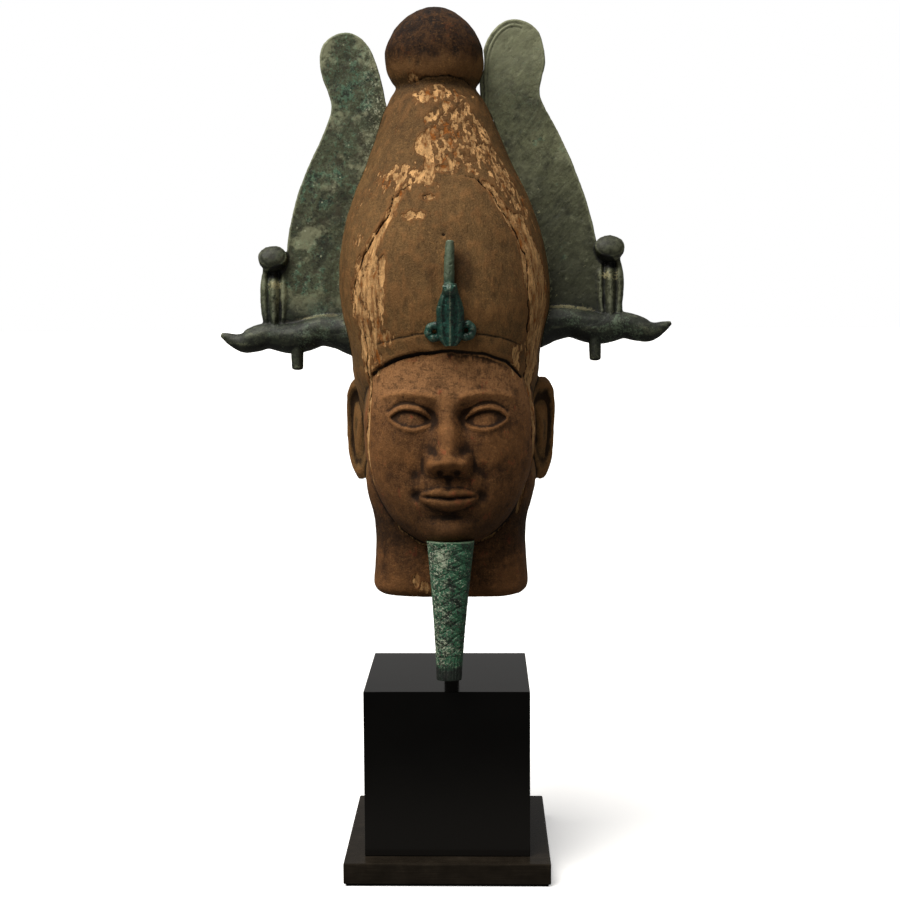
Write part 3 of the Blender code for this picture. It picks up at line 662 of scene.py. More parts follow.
def brow_relief(side, h):
    line = 120.0 + 6.0 * np.clip(1 - ((side - 31) / 27) ** 2, -0.9, 1)
    strip = 2.0 * bump(h, line, 3.0) * smooth_step(7, 13, side) * (1 - smooth_step(52, 60, side))
    return strip + 2.5 * bump(h, 124, 13) * bump(side, 0, 50)


def mouth_relief(side, h):
    """Full closed lips with a soft parting, and the hollows round them."""
    share = side / MOUTH_HALF_WIDTH
    closing = np.clip(1 - share**2, 0, 1)
    line = MOUTH_HEIGHT + 1.3 * share**2 - 0.5 * bump(side, 0, 4)
    top = line + 9.0 * closing**0.75 - 0.9 * bump(side, 0, 3.4)
    bottom = line - 10.8 * closing**0.6
    upper = 3.6 * closing**0.45 * pillow((h - line) / np.maximum(top - line, 0.5), 0.7)
    lower = 4.4 * closing**0.45 * pillow((line - h) / np.maximum(line - bottom, 0.5), 0.65)
    corners = -3.6 * spot(side, h, (MOUTH_HALF_WIDTH + 1.5, MOUTH_HEIGHT + 1), (5, 5))
    parting = -1.5 * closing**0.5 * bump(h, line, 1.2)
    groove = -1.5 * spot(side, h, (0, 55), (2.8, 4.5))
    return upper + lower + parting + corners + groove


def face_relief(x, h):
    """How far the face stands forward of its plain oval, at x across it and h above the chin."""
    side = np.abs(x)
    cheeks = 4.5 * spot(side, h, (42, 82), (20, 18))
    muzzle = 6.0 * spot(side, h, (0, 46), (31, 20))
    fold = -1.8 * bump(side, 27 + (62 - h) * 0.25, 5) * bump(h, 58, 12)
    under_lip = -3.2 * spot(side, h, (0, 24), (18, 5.0))
    chin = 6.0 * spot(side, h, (0, 12), (17, 10))
    shape = cheeks + muzzle + fold + under_lip + chin
    return shape + nose_relief(side, h) + eye_relief(side, h) + brow_relief(side, h) + mouth_relief(side, h)


face_half_width = smooth_through(
    [(-5, 12), (0, 24), (6, 35), (16, 46), (32, 57), (50, 65), (75, 71), (105, 72.5), (130, 70), (160, 67),
     (200, 60)]
)
face_front = smooth_through(
    [(-5, 66), (0, 76), (6, 81), (16, 83.5), (35, 84), (70, 84), (110, 84.5), (150, 84), (185, 80), (200, 75)]
)
face_back = smooth_through([(-5, -50), (0, -42), (16, -25), (40, 2), (80, 30), (140, 50), (200, 50)])
face_middle = smooth_through([(-5, -40), (60, -40), (110, -30), (150, -20), (200, -18)])
FACE_ROW, FACE_SHIFT = 0.8, -2.2
# Degrees to each side of the front that the face's fine columns reach
FACE_TURN = 88


def face_rings(front_columns=230, back_columns=40, high=200):
    turn = math.radians(FACE_TURN)
    front = np.linspace(-turn, turn, front_columns) - math.pi / 2
    back = np.linspace(turn, math.radians(360 - FACE_TURN), back_columns + 2)[1:-1] - math.pi / 2
    angles = np.concatenate([front, back])
    facing = np.clip(-np.sin(angles), 0, 1) ** 0.6
    rings = []
    for h in np.arange(-5, high, FACE_ROW):
        middle = float(face_middle(h))
        reach = max(float(face_back(h)) - middle, 6)
        x, y = oval(angles, face_half_width(h), face_front(h) + middle, reach, 2.15)
        y = y + middle - face_relief(x, h) * facing * smooth_step(-5, 4, h)
        across = x + FACE_SHIFT * smooth_step(90, 160, h)
        rings.append(level_ring(across, y, CHIN + h) + np.array(HEAD_ORIGIN))
    return rings


NECK_HALF_WIDTH, NECK_FRONT, NECK_BACK, NECK_ROUNDING = 67.3, 50, 60, 10
neck_share = smooth_through(
    [(0, 1.0), (70, 1.0), (82, 1.05), (92, 1.08), (104, 1.09), (118, 1.05), (134, 0.9)]
)


def neck_rings(columns=160):
    angles = even_angles(columns)
    turn = np.linspace(0, math.pi / 2, 9)
    heights = list(NECK_ROUNDING * (1 - np.cos(turn))) + list(np.arange(14, 135, 4))
    rings = []
    for height in heights:
        low = min(height / NECK_ROUNDING, 1)
        inset = NECK_ROUNDING * (1 - math.sqrt(1 - (1 - low) ** 2))
        size = float(neck_share(height))
        x, y = oval(angles, NECK_HALF_WIDTH * size - inset, NECK_FRONT - inset, NECK_BACK - inset, 3.6)
        rings.append(level_ring(x, y, height) + np.array(HEAD_ORIGIN))
    return rings


EAR_TALL, EAR_WIDE, EAR_DEEP, EAR_POWER = 90, 32, 9, 2.7
EAR_PLACE = (78, -1, 141)
EAR_SPLAY = math.radians(40)
ear_share = smooth_through(
    [(0, 0.80), (60, 1.0), (120, 1.04), (180, 0.86), (240, 0.62), (290, 0.66), (360, 0.80)]
)


def ear(side, columns=96, rings=26):
    """An ear with a rolled rim round a hollow, an inner fold, and a lobe below."""
    angles = even_angles(columns)
    outline = ear_share(np.degrees(angles))
    inner_fold = bump(np.degrees(angles), 190, 75)
    outer = 0.5 + 0.5 * np.cos(angles - math.radians(50))
    front, back = [], []
    for share in np.linspace(0.05, 1.0, rings):
        half_tall = 0.5 * EAR_TALL * share
        along, up = oval(angles, 0.55 * EAR_WIDE * share, half_tall, half_tall, EAR_POWER)
        edge = 0.5 * EAR_DEEP * (1 - share**6)
        rim = (1.0 + 2.6 * outer) * bump(share, 0.86, 0.12) - (1.5 + 3.0 * outer) * bump(share, 0.58, 0.17)
        rim = rim + 2.2 * bump(share, 0.2, 0.25) * inner_fold
        out = edge + rim * (1 - 0.8 * share**8)
        front.append(np.stack([along * outline, out, up], 1))
        if share < 1:
            back.append(np.stack([along * outline, np.full(columns, -edge), up], 1))
    turn = Matrix.Rotation(math.pi + EAR_SPLAY, 4, "Z") @ Matrix.Diagonal((-UNIT, UNIT, UNIT, 1))
    place = moved(*EAR_PLACE) @ turn
    whole = Matrix.Translation(HEAD_ORIGIN) @ Matrix.Diagonal((side, 1, 1, 1)) @ place
    return loft("ear", carried(np.array([*front, *back[::-1]]), whole))


# Places on the wood are given as degrees round from the front, plus to the viewer's right, and as
# millimetres above the stand's underside.
# One degree round the crown is about this many millimetres.
DEGREE = 1.45
# Strips where the dark layer is lost down to pale ground, each with how broken it is from 0 to 1, and its
# corners as angle, height and half width
LOST_STRIPS = [
    (0.2, [(-26, 577, 2), (-31, 562, 3.5), (-37, 545, 4), (-42, 528, 6)]),
    (0.55, [(-43, 522, 9), (-44, 502, 16), (-44, 478, 17), (-46, 460, 12), (-48, 444, 8), (-50, 430, 5)]),
    (0.1, [(-50, 428, 3), (-49, 405, 2.6), (-50, 372, 2.6), (-49, 339, 1.2), (-47, 312, 0.9), (-39, 296, 0.8),
           (-24, 285, 0.7), (0, 279, 0.5), (24, 283, 0.9), (40, 292, 1.0), (50, 303, 0.8)]),
    (0.3, [(36, 582, 4), (42, 568, 5), (48, 553, 7), (54, 538, 8)]),
    (0.3, [(53, 552, 8), (58, 525, 14), (61, 500, 17), (62, 470, 16), (62, 440, 12), (61, 415, 8),
           (60, 395, 3)]),
    (0.2, [(58, 430, 3.5), (58, 407, 3.2), (57, 373, 2.8), (60, 340, 2), (56, 310, 1.0)]),
    (0.9, [(40, 655, 10), (48, 622, 16), (55, 596, 16), (60, 568, 12)]),
    (0.9, [(118, 600, 6), (125, 560, 11), (121, 520, 8), (126, 480, 4)]),
    (0.7, [(-128, 585, 4), (-121, 545, 9), (-125, 500, 12), (-119, 455, 6), (-122, 420, 3)]),
    (0.8, [(168, 520, 5), (175, 485, 10), (171, 450, 5)]),
]
# Round patches of the same: angle, height, half size across and up, how far it is whole, and how broken
LOST_PATCHES = [
    (-12, 617, 12, 8, 5, 0.1), (-7, 600, 5, 14, 4, 0.35), (-12, 590, 10, 5, 1, 0.6),
    (-27, 589, 26, 8, 1, 0.95), (20, 625, 44, 30, 0, 1.0), (6, 596, 9, 2.0, 4, 0.0),
    (-16, 557, 8, 2.0, 1.5, 0.5), (-33, 512, 2.2, 9, 3, 0.2), (-34, 458, 7, 5, 1, 0.6),
    (-43, 440, 8, 10, 2, 0.7), (-27, 253, 3.5, 5, 2, 0.3), (-20, 247, 4, 3, 1, 0.6),
    (-6, 572, 4, 1.5, 1, 0.3), (-47, 674, 10, 2.5, 2, 0.6), (5, 660, 40, 5, 0, 1.0),
    (44, 440, 4, 9, 1, 0.8), (150, 612, 20, 14, -1, 1.0), (-160, 470, 12, 16, -1, 0.9),
    (140, 300, 9, 9, 1, 0.4), (-100, 290, 7, 9, 0, 0.5),
]
# Cracks in the layer and the wood: angle, height and half width
CRACKS = [
    [(-31, 574, 0.3), (-34, 556, 0.8), (-40, 542, 0.5), (-45, 530, 0.9), (-52, 508, 0.4), (-57, 488, 0.7)],
    [(-50, 470, 0.2), (-48, 452, 0.7), (-51, 436, 0.6), (-49, 415, 0.8), (-50, 394, 0.5), (-53, 372, 0.3)],
    [(31, 588, 0.3), (40, 572, 0.9), (45, 556, 0.8), (50, 537, 0.5), (53, 520, 0.9), (50, 498, 0.6),
     (51, 466, 1.0), (53, 452, 0.5), (55, 425, 0.8), (57, 405, 0.5), (54, 376, 0.7), (62, 342, 0.3)],
    [(-48, 672, 0.5), (-30, 674, 0.3), (-5, 675, 0.25), (30, 676, 0.3), (60, 674, 0.5), (85, 671, 0.8)],
    [(-29, 573, 0.3), (-24, 580, 0.3), (-14, 588, -0.2), (-2, 591, -0.4), (10, 592, -0.3), (22, 590, -0.1),
     (33, 585, 0.3)],
    [(110, 650, 0.4), (116, 600, 0.9), (120, 545, 0.8), (118, 490, 0.6), (122, 440, 0.3)],
    [(-140, 640, 0.3), (-136, 590, 0.8), (-131, 530, 0.9), (-134, 470, 0.4)],
    [(178, 330, 0.4), (175, 290, 0.9), (177, 245, 0.6)],
]
# The line cut under the crown's edge over the brow, and the fainter one above it
BROW_LINE = [
    (-47, 427, 0.6), (-43, 431, 1.0), (-29, 440, 1.1), (-13, 445.5, 1.1), (4, 447.5, 1.1), (21, 445.5, 1.2),
    (37, 438.5, 1.2), (51, 424.5, 0.9),
]
BAND_LINE = [
    (-40, 452, 0.5), (-23, 459, 0.7), (-10, 462, 0.7), (18, 461, 0.7), (31, 458.5, 0.7), (46, 452, 0.5),
]
# Angle, height and radius
PINHOLE = (2, 541, 1.6)
# The height of the crown's edge by degrees from the front
EDGE_HEIGHTS = [
    (0, 447), (13, 446), (29, 440), (43, 431), (51, 424), (57, 395), (64, 350), (72, 330), (180, 321),
]
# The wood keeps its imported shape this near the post's middle, in metres, and below this height.
POST_CLEAR, POST_CLEAR_HEIGHT = 0.016, 320
# The height of the joint between the crown's body and its bulb, and how far to each side it reaches
BULB_JOINT, BULB_JOINT_REACH = 673, 5


def around(points):
    """Degrees round the crown from the front, and height in millimetres."""
    up = points[:, 2] * 1000
    leaning = np.clip(up - CROWN_ORIGIN.z * 1000, LEAN_FROM, LEAN_TO) - LEAN_FROM
    middle = CROWN_ORIGIN.x * 1000 - CROWN_LEAN_SIDE * leaning
    return np.degrees(np.arctan2(points[:, 0] * 1000 - middle, -points[:, 1] * 1000)), up


def line_depth(angle, up, line):
    """How far inside a strip each point lies, in millimetres, below 0 outside it."""
    distance, width = near_line(angle * DEGREE, up, [(a * DEGREE, z, w) for a, z, w in line])
    return width - distance


def lost_layer(points):
    """How far inside the dark layer's lost patches each point lies, in millimetres, and how broken it is."""
    angle, up = around(points)
    ragged = 2.6 * fractal(points, (0.012, 0.012, 0.020), 4, 3)
    best = np.full(len(points), -30.0)
    broken = np.zeros(len(points))

    def lay(depth, share):
        nonlocal best, broken
        broken = np.where(depth > best, share, broken)
        best = np.maximum(best, depth)

    for share, line in LOST_STRIPS:
        width = near_line(angle * DEGREE, up, [(a * DEGREE, z, w) for a, z, w in line])[1]
        lay(line_depth(angle, up, line) + ragged * np.clip(width / 6, 0.2, 1), share)
    for middle, height, across, tall, whole, share in LOST_PATCHES:
        reach = np.hypot((angle - middle) * DEGREE / across, (up - height) / tall)
        depth = (1 - reach) * min(across, tall) * 0.8 + whole * smooth_step(1.5, 1.1, reach)
        lay(depth + ragged * (0.3 + 0.7 * min(tall, across) / 10), share)
    scattered = 7 * (fractal(points, (0.012, 0.012, 0.024), 4, 7) - 1.0)
    smooth_panel = smooth_step(50, 38, np.abs(angle)) * smooth_step(655, 640, up)
    lay(np.where(up < 640, scattered, -30) - 30 * (1 - smooth_step(430, 470, up)) - 30 * smooth_panel, 1.0)
    crumbs = 4.5 * noise(points, (0.0030, 0.0030, 0.0085), 9) + 1.5 * noise(points, 0.0022, 10)
    return np.minimum(best, 4.0 - 3.8 * broken) + broken * crumbs, broken


def crack_depth(points):
    """How far inside the nearest crack each point lies, in millimetres, below 0 outside it."""
    angle, up = around(points)
    wander = noise(points, 0.009, 31) * 1.6 / DEGREE
    jitter = 0.3 * noise(points, 0.003, 33)
    best = np.full(len(points), -20.0)
    for line in CRACKS:
        best = np.maximum(best, line_depth(angle + wander, up + 0.8 * wander, line) + jitter)
    return best


def cut_lines(points):
    """How far inside the line under the crown's edge, and inside the fainter one over it, each point lies."""
    angle, up = around(points)
    wander = 0.5 * noise(points, 0.011, 41)
    return line_depth(angle, up + wander, BROW_LINE), line_depth(angle, up - wander, BAND_LINE)


def brow_height(angle):
    """The height of the crown's edge by degrees from the front."""
    return np.interp(np.abs(angle), *zip(*EDGE_HEIGHTS))


def carve_head(piece, looks):
    """Works the fused head: the cut lines, the lost layer, cracks, grain and unevenness."""
    points = points_of(piece)
    angle, up = around(points)
    lost, broken = lost_layer(points)
    crack = crack_depth(points)
    brow_line, band_line = cut_lines(points)
    on_crown = smooth_step(-14, 4, up - brow_height(angle))
    depth = 0.5 * fractal(points, 0.032, 3, 1) + 0.2 * noise(points, (0.006, 0.006, 0.009), 5)
    depth = depth + 0.10 * noise(points, (0.0022, 0.0022, 0.008), 6)
    flake = (1 - 0.65 * broken) * smooth_step(-0.4, 0.6, lost)
    depth = depth - looks.layer_depth / UNIT * flake + 0.2 * bump(lost, -1.1, 0.9) * (1 - broken)
    depth = depth - looks.crack_depth / UNIT * smooth_step(-0.5, 0.5, crack)
    line_share = smooth_step(-0.9, 0.5, brow_line) + 0.38 * smooth_step(-0.7, 0.4, band_line)
    depth = depth - looks.line_depth / UNIT * line_share
    hole = np.hypot((angle - PINHOLE[0]) * DEGREE, up - PINHOLE[1])
    depth = depth - 1.6 * (1 - smooth_step(0.6, PINHOLE[2], hole))
    near_post = np.hypot(points[:, 0] - POST_MIDDLE, points[:, 1]) < POST_CLEAR
    depth = np.where(near_post & (up < POST_CLEAR_HEIGHT), 0, depth)
    set_points(piece, points + normals_of(piece) * (depth * UNIT * (0.6 + 0.4 * on_crown))[:, None])


def build_head(looks):
    """The face, ears, neck and crown, carved from one piece, with a square socket under the neck."""
    forms = [loft("crown", crown_rings(0)), loft("face", face_rings()), loft("neck", neck_rings())]
    forms += [ear(1), ear(-1)]
    piece = fused("carved_head", forms, looks.wood_step)
    carve_head(piece, looks)
    thinned(piece, HEAD_TRIANGLES)
    socket_side = POST_SIDE + 2 * SOCKET_CLEARANCE
    socket = Matrix.Diagonal((socket_side, socket_side, 2 * SOCKET_DEPTH, 1))
    bm = bmesh.new()
    bmesh.ops.create_cube(bm, size=1, matrix=Matrix.Translation(HEAD_ORIGIN) @ socket)
    cut_back(piece, from_bmesh("post_socket", bm))
    points = points_of(piece)
    angle, up = around(points)
    lost, broken = lost_layer(points)
    brow_line, band_line = cut_lines(points)
    store(piece, "lost", lost)
    store(piece, "broken", broken)
    store(piece, "crack", crack_depth(points))
    store(piece, "line", np.maximum(brow_line, band_line - 0.3))
    joint = bump(up, BULB_JOINT, BULB_JOINT_REACH)
    store(piece, "hollow", hollows(piece, 24) * (1 - 0.85 * joint))
    store(piece, "face", 1 - smooth_step(-3, 2, up - brow_height(angle)))
    # Painted shade on the wood round the brow cobra: beside its tail, beside its hood and under it.
    soot = spot(angle, up, (11, 512), (7, 22)) + 0.6 * spot(angle, up, (-5, 508), (5, 18))
    soot = soot + 0.7 * spot(angle, up, (10, 462), (16, 7)) + 0.5 * spot(angle, up, (0, 441), (6, 6))
    store(piece, "soot", soot)
    store(piece, "bulb", smooth_step(682, 700, up + 7 * fractal(points, 0.02, 3, 15)))
    return piece


# The plume's outline: up the outer edge from the horn, over the curled top and down to the crown
PLUME_OUTLINE = [
    (139, 14), (138, 48), (134.5, 82), (127.5, 117), (116, 151), (103, 178), (92.5, 198), (89.5, 209),
    (92, 220), (96.5, 232), (97.5, 245), (94, 258), (85.5, 266.5), (74.5, 270.5), (64, 268),
    (54.5, 259.5), (48.5, 248), (45, 236), (42.5, 221), (41.5, 208), (38, 180), (50, 140), (66, 90),
    (74, 40), (74, 14),
]
# Across, up and radius along the horn
HORN_PATH = [
    (74, 13, 20), (84, 14.8, 17.2), (93, 16.6, 15.2), (108, 18, 13.6), (122, 13.5, 13.6), (135, 11.5, 13.2),
    (153, 14, 11.4), (165, 11.2, 11), (174, 8.8, 9.6), (181, 9.6, 7.2), (189, 13, 4.4), (195, 15.8, 1.8),
]
PLUME_THICKNESS = 7
SIDE_COBRA_PLACE = (145.0, -1.0)
SNAKE_HEAD_HEIGHT, HOOD_OVER_HEAD = 70, 2
side_hood_half_width = smooth_through([(14, 9.6), (28, 10.6), (44, 12.2), (56, 12.0), (64, 11), (70, 9.5)])
SUN_RADIUS, SUN_THICKNESS, SUN_FLATNESS = 12.5, 9, 0.82
SUN_HEIGHT = SNAKE_HEAD_HEIGHT + SUN_RADIUS * SUN_FLATNESS
SUN_TILT = math.radians(20)
# The sun disc's domed face: its radii, and how far its middle lies forward
SUN_FACE_RADII, SUN_FACE_RISE = (10.8, 10.8, 3.2), 4.2
PEG_PLACE, PEG_LENGTH, PEG_RADII = (128.4, -5, -1), 27, (5.0, 5.8)
PEG_TIP = 1.8
CASTING_RISE = {-1: -4.0, 1: 0.4}
CASTING_LEAN = math.radians(0.6)
COBRA_BEND = -3.0
PLUME_SHIFT = {-1: 0, 1: -2.0}
plume_bend = smooth_through([(0, -2.5), (184, -3.0), (213, -7.5), (245, -9.5), (276, -9.0)])
plume_stretch = smooth_through([(0, 0), (184, 1), (213, 2.5), (276, 3)])
# How far the outer edge of each plume swells outward, and how much taller it stands than its pair, by side
edge_swell = {
    -1: smooth_through(
        [(0, 0), (60, 0.7), (95, 3.5), (148, 4.3), (173, 1.8), (200, 0), (240, -2.4), (265, 0.5)]
    ),
    1: smooth_through(
        [(0, 0), (80, -1), (104, -1.8), (156, -1.8), (170, 0), (195, 2.3), (221, 3.7), (247, 1.7)]
    ),
}
PLUME_RISE = {-1: 0, 1: 4}
OUTER_EDGE_FROM = 80


def hood_rings(heights, half_width, half_depth, middle, place, rib=(1.5, 1.3), throat=0.0):
    """Rings of a cobra's hood: an oval with a raised rib between two hollows, and a hollow throat on top."""
    angles = even_angles(72)
    rings = []
    for height in heights:
        wide = float(half_width(height))
        x, y = oval(angles, wide, half_depth, half_depth, 2.4)
        across = np.abs(x) / wide
        raised = rib[0] * bump(across, 0, 0.22) - rib[1] * bump(across, 0.42, 0.15)
        raised = raised - throat * bump(height, 67, 6.5) * bump(across, 0, 0.8)
        y = y - np.where(y < 0, raised, 0) + float(middle(height))
        rings.append(level_ring(x, y, height))
    return carried(np.array(rings), place)


def side_cobra_forms(place):
    """The cobra that stands on the horn against the plume: hood, head, neck and sun disc."""
    across, forward = SIDE_COBRA_PLACE
    here = place @ moved(across, forward, 0)
    middle = smooth_through([(14, 0), (50, 0), (70, -1)])
    levels = np.linspace(12, SNAKE_HEAD_HEIGHT + HOOD_OVER_HEAD, 60)
    hood = loft("hood", hood_rings(levels, side_hood_half_width, 5.5, middle, here, (1.8, 2.6), 5.0))
    head = ball("snake_head", (9.5, 7.5, 5.5), here @ moved(0, -4, SNAKE_HEAD_HEIGHT + 4))
    sun_turn = Matrix.Rotation(math.pi / 2 - SUN_TILT, 4, "X")
    sun_place = moved(0, -4, SUN_HEIGHT) @ sun_turn @ Matrix.Diagonal((1, SUN_FLATNESS, 1, 1))
    sun = round_bar("sun", (SUN_RADIUS, SUN_RADIUS), SUN_THICKNESS, here @ sun_place)
    face_place = here @ sun_place @ Matrix.Translation((0, 0, SUN_FACE_RISE * UNIT))
    face = ball("sun_face", SUN_FACE_RADII, face_place)
    return [hood, head, sun, face]


def casting_place(side):
    return (
        Matrix.Translation(CROWN_ORIGIN + Vector((0, 0, CASTING_RISE[side])) * UNIT)
        @ Matrix.Rotation(-math.atan(CROWN_LEAN_BACK), 4, "X")
        @ Matrix.Rotation(-CASTING_LEAN, 4, "Y")
        @ Matrix.Diagonal((side, 1, 1, 1))
    )


def bent_plume(side):
    """The plume's outline as it stands on one side."""
    bent = []
    for x, z in PLUME_OUTLINE:
        swell = float(edge_swell[side](z)) if x > OUTER_EDGE_FROM else 0
        rise = PLUME_RISE[side] * float(smooth_step(120, 250, z))
        across = x + side * (PLUME_SHIFT[side] + float(plume_bend(z))) + swell
        bent.append((across, z + float(plume_stretch(z)) + rise))
    return bent


def build_plume(name, side, looks):
    """One side's bronze, cast in one: plume, horn, cobra with a sun disc, and peg."""
    place = casting_place(side)
    outline = [(p.x, p.y) for p in rounded(bent_plume(side), True, 6)]
    forms = [plate("plume", [(x * UNIT, z * UNIT) for x, z in outline], PLUME_THICKNESS * UNIT, place)]
    path = rounded(HORN_PATH, False, 6)
    points = [place @ (Vector((p.x, 0, p.y)) * UNIT) for p in path]
    forms.append(tube("horn", points, [p.z * UNIT for p in path], 40))
    peg_place = place @ moved(*PEG_PLACE)
    forms.append(round_bar("peg", PEG_RADII, PEG_LENGTH, peg_place))
    tip_place = peg_place @ Matrix.Translation((0, 0, -PEG_LENGTH / 2 * UNIT))
    forms.append(ball("peg_tip", (PEG_RADII[0], PEG_RADII[0], PEG_TIP), tip_place))
    forms += side_cobra_forms(place @ Matrix.Translation((side * COBRA_BEND * UNIT, 0, 0)))
    piece = fused(name, forms, looks.casting_step, 4)
    work_bronze(piece, side, outline, place)
    thinned(piece, CASTING_TRIANGLES)
    cut_back(piece, crown_cutter())
    store(piece, "hollow", hollows(piece, 14))
    store(piece, "rim", rim_distance(points_of(piece), outline, place))
    local = local_points(points_of(piece), place)
    facing = normals_of(piece)
    # Where the horns face down, for the painted shade on their undersides.
    store(piece, "under", smooth_step(0.05, 0.75, -facing[:, 2]) * smooth_step(34, 26, local[:, 2]))
    # The line along each horn's top where the plume meets it, for a painted highlight.
    seam = np.interp(local[:, 0], [80, 93, 108, 122, 135, 153], [30.5, 30.5, 30.5, 28, 25.5, 26])
    along = smooth_step(88, 96, local[:, 0]) * smooth_step(136, 118, local[:, 0])
    ridge_highlight_band = bump(local[:, 2], seam, 2.4) * (0.45 + 0.55 * along)
    store(piece, "seam", ridge_highlight_band * smooth_step(160, 150, local[:, 0]))
    across_hood = local[:, 0] - SIDE_COBRA_PLACE[0] - side * COBRA_BEND
    # Painted shadow under the sun disc, and a painted dark stripe down the hood's side for a shadowed slot,
    # on faces turned forward.
    shadow_under_disc = 1.3 * spot(across_hood, local[:, 2] + 0.35 * across_hood, (-2.5, 68), (8.5, 5.0))
    slot_shadow = spot(across_hood, local[:, 2], (-5.5, 35), (1.9, 11))
    store(piece, "throat", np.maximum(shadow_under_disc, 0.9 * slot_shadow) * smooth_step(0.05, -0.2, facing[:, 1]))
    store(piece, "collar", spot(across_hood, local[:, 2], (-1, 57), (8, 4.5)))
    on_disc = smooth_step(69, 73, local[:, 2]) * smooth_step(-16, -10, across_hood)
    store(piece, "disc", on_disc * (0.62 + 0.3 * smooth_step(-6, 4, -across_hood * side)))
    store(piece, "inner", local[:, 0])
    return piece


def local_points(points, place):
    """Points in a casting's own millimetres: outward from the crown, back, and up."""
    return carried(points, place.inverted()) / UNIT


def rim_distance(points, outline, place):
    """How far in from the plume's outline each point of the casting lies, in millimetres."""
    local = local_points(points, place)
    closed = [(x, z, 0) for x, z in [*outline, outline[0]]]
    return near_line(local[:, 0], local[:, 2], closed)[0]


def work_bronze(piece, side, outline, place):
    """Hammered unevenness, pits, and a rim line along the plume's edge."""
    points = points_of(piece)
    normals = normals_of(piece)
    rim = rim_distance(points, outline, place)
    depth = 0.35 * fractal(points, 0.022, 3, 51 + side) + 0.10 * noise(points, 0.0035, 55)
    local = local_points(points, place)
    on_horn = smooth_step(34, 26, local[:, 2])
    depth = depth - 0.2 * smooth_step(0.6, 0.9, noise(points, 0.0032, 57 + side))
    ridge = 0.7 * fractal(points, (0.030, 0.012, 0.011), 2, 58 + side) * smooth_step(2, 8, local[:, 2])
    depth = depth * (1 - 0.5 * on_horn) + on_horn * ridge
    inner = smooth_step(0.2, 0.8, np.abs(normals[:, 1])) * (local[:, 2] > 30)
    toward_crown = local[:, 0] < np.interp(local[:, 2], [0, 100, 200, 240, 280], [100, 92, 66, 68, 70])
    groove = -0.45 * bump(rim, 3.6, 0.8) - 0.3 * bump(rim, 6.6, 0.8) + 0.35 * bump(rim, 5.1, 0.9)
    strength = 1.0 if side > 0 else 0.25
    depth = depth + groove * inner * toward_crown * strength
    set_points(piece, points + normals * (depth * UNIT)[:, None])


COBRA_PLACE = (5.8, 1.0)
COIL_RADIUS, COIL_THICKNESS = 5.2, 3.2
# Across, forward and up along the tail, and its radius at each
TAIL_PATH = [
    (-0.4, 1.5, 30), (-0.8, -0.5, 44), (-0.8, -1.2, 56), (-0.6, -0.6, 68), (-0.2, 0.6, 77), (0, 1.8, 84),
]
TAIL_RADII = (4.4, 4.4, 4.3, 4.1, 3.8, 3.2)
brow_hood_half_width = smooth_through(
    [(0, 5.0), (5, 9.0), (14, 10.6), (23, 11.2), (31, 10.8), (38, 8.6), (44, 6.4), (50, 5.2)]
)


def coil(centre, steps=40, sides=20):
    """A loop of the brow cobra's body, lying against the crown."""
    turn = even_angles(steps)
    ring = np.stack([COIL_RADIUS * np.cos(turn), 0 * turn, COIL_RADIUS * np.sin(turn)], 1) * UNIT
    out = ring / np.linalg.norm(ring, axis=1)[:, None]
    around_tube = even_angles(sides)[None, :, None]
    thick = COIL_THICKNESS * UNIT * (1 + 0.08 * np.sin(6 * turn))[:, None, None]
    section = out[:, None] * np.cos(around_tube) + np.array((0, 1, 0)) * np.sin(around_tube)
    rows = ring[:, None] + thick * section
    rows = rows + np.array(centre)
    bm = bmesh.new()
    verts = [[bm.verts.new(point) for point in row] for row in rows]
    for a, b in zip(verts, [*verts[1:], verts[0]]):
        for j in range(sides):
            bm.faces.new((a[j], a[(j + 1) % sides], b[(j + 1) % sides], b[j]))
    return from_bmesh("coil", bm)


def build_brow_cobra(looks):
    """The cobra on the brow: a rearing hood between two loops of its body, and its tail up the crown."""
    across, rise = COBRA_PLACE
    back = crown_lean(rise)[1]
    surface = back - crown_half_width(rise + 20) * crown_front_share(rise + 20)
    here = Matrix.Translation(CROWN_ORIGIN + Vector((across, float(surface), rise)) * UNIT)
    middle = smooth_through([(0, 1.5), (20, -1.5), (40, -4.5), (50, -3)])
    levels = np.linspace(0, 50, 60)
    forms = [loft("hood", hood_rings(levels, brow_hood_half_width, 7, middle, here, (1.5, 1.4)))]
    steps = 6
    path = rounded(TAIL_PATH, False, steps)
    radii = np.interp(np.arange(len(path)), np.arange(len(TAIL_PATH)) * steps, TAIL_RADII) * UNIT
    forms.append(tube("tail", [here @ (p * UNIT) for p in path], radii, 24))
    snout = here @ moved(-0.4, -9.5, 45)
    forms.append(ball("snout", (5.4, 7.5, 6.0), snout))
    for side in (-1, 1):
        forms.append(coil(here @ (Vector((side * 12.8, 1.5, 12 + 0.5 * side)) * UNIT)))
        forms.append(ball("eye", (1.5, 1.6, 1.5), snout @ moved(side * 3.9, -3.4, 2.4)))
    piece = fused("brow_snake", forms, looks.cobra_step, 2)
    points = points_of(piece)
    depth = 0.22 * fractal(points, 0.006, 3, 61) - 0.35 * smooth_step(0.45, 0.9, noise(points, 0.0024, 63))
    set_points(piece, points + normals_of(piece) * (depth * UNIT)[:, None])
    thinned(piece, COBRA_TRIANGLES)
    cut_back(piece, crown_cutter())
    store(piece, "hollow", hollows(piece, 10))
    across_hood = (points_of(piece)[:, 0] - here.translation.x) / UNIT
    store(piece, "middle", bump(across_hood, 0, 1.0) * smooth_step(0, -0.4, normals_of(piece)[:, 1]))
    return piece


BEARD_LENGTH = 115
BEARD_TOP_WIDTH, BEARD_TIP_WIDTH, BEARD_TOP_DEPTH, BEARD_TIP_DEPTH = 39.5, 21.2, 26, 17
# Where the middle of its top lies, from the middle of the neck's underside
BEARD_TOP = (1.2, -77, CHIN + 4)
PLAIT_PITCH, TASSEL_LENGTH = 11.8, 20


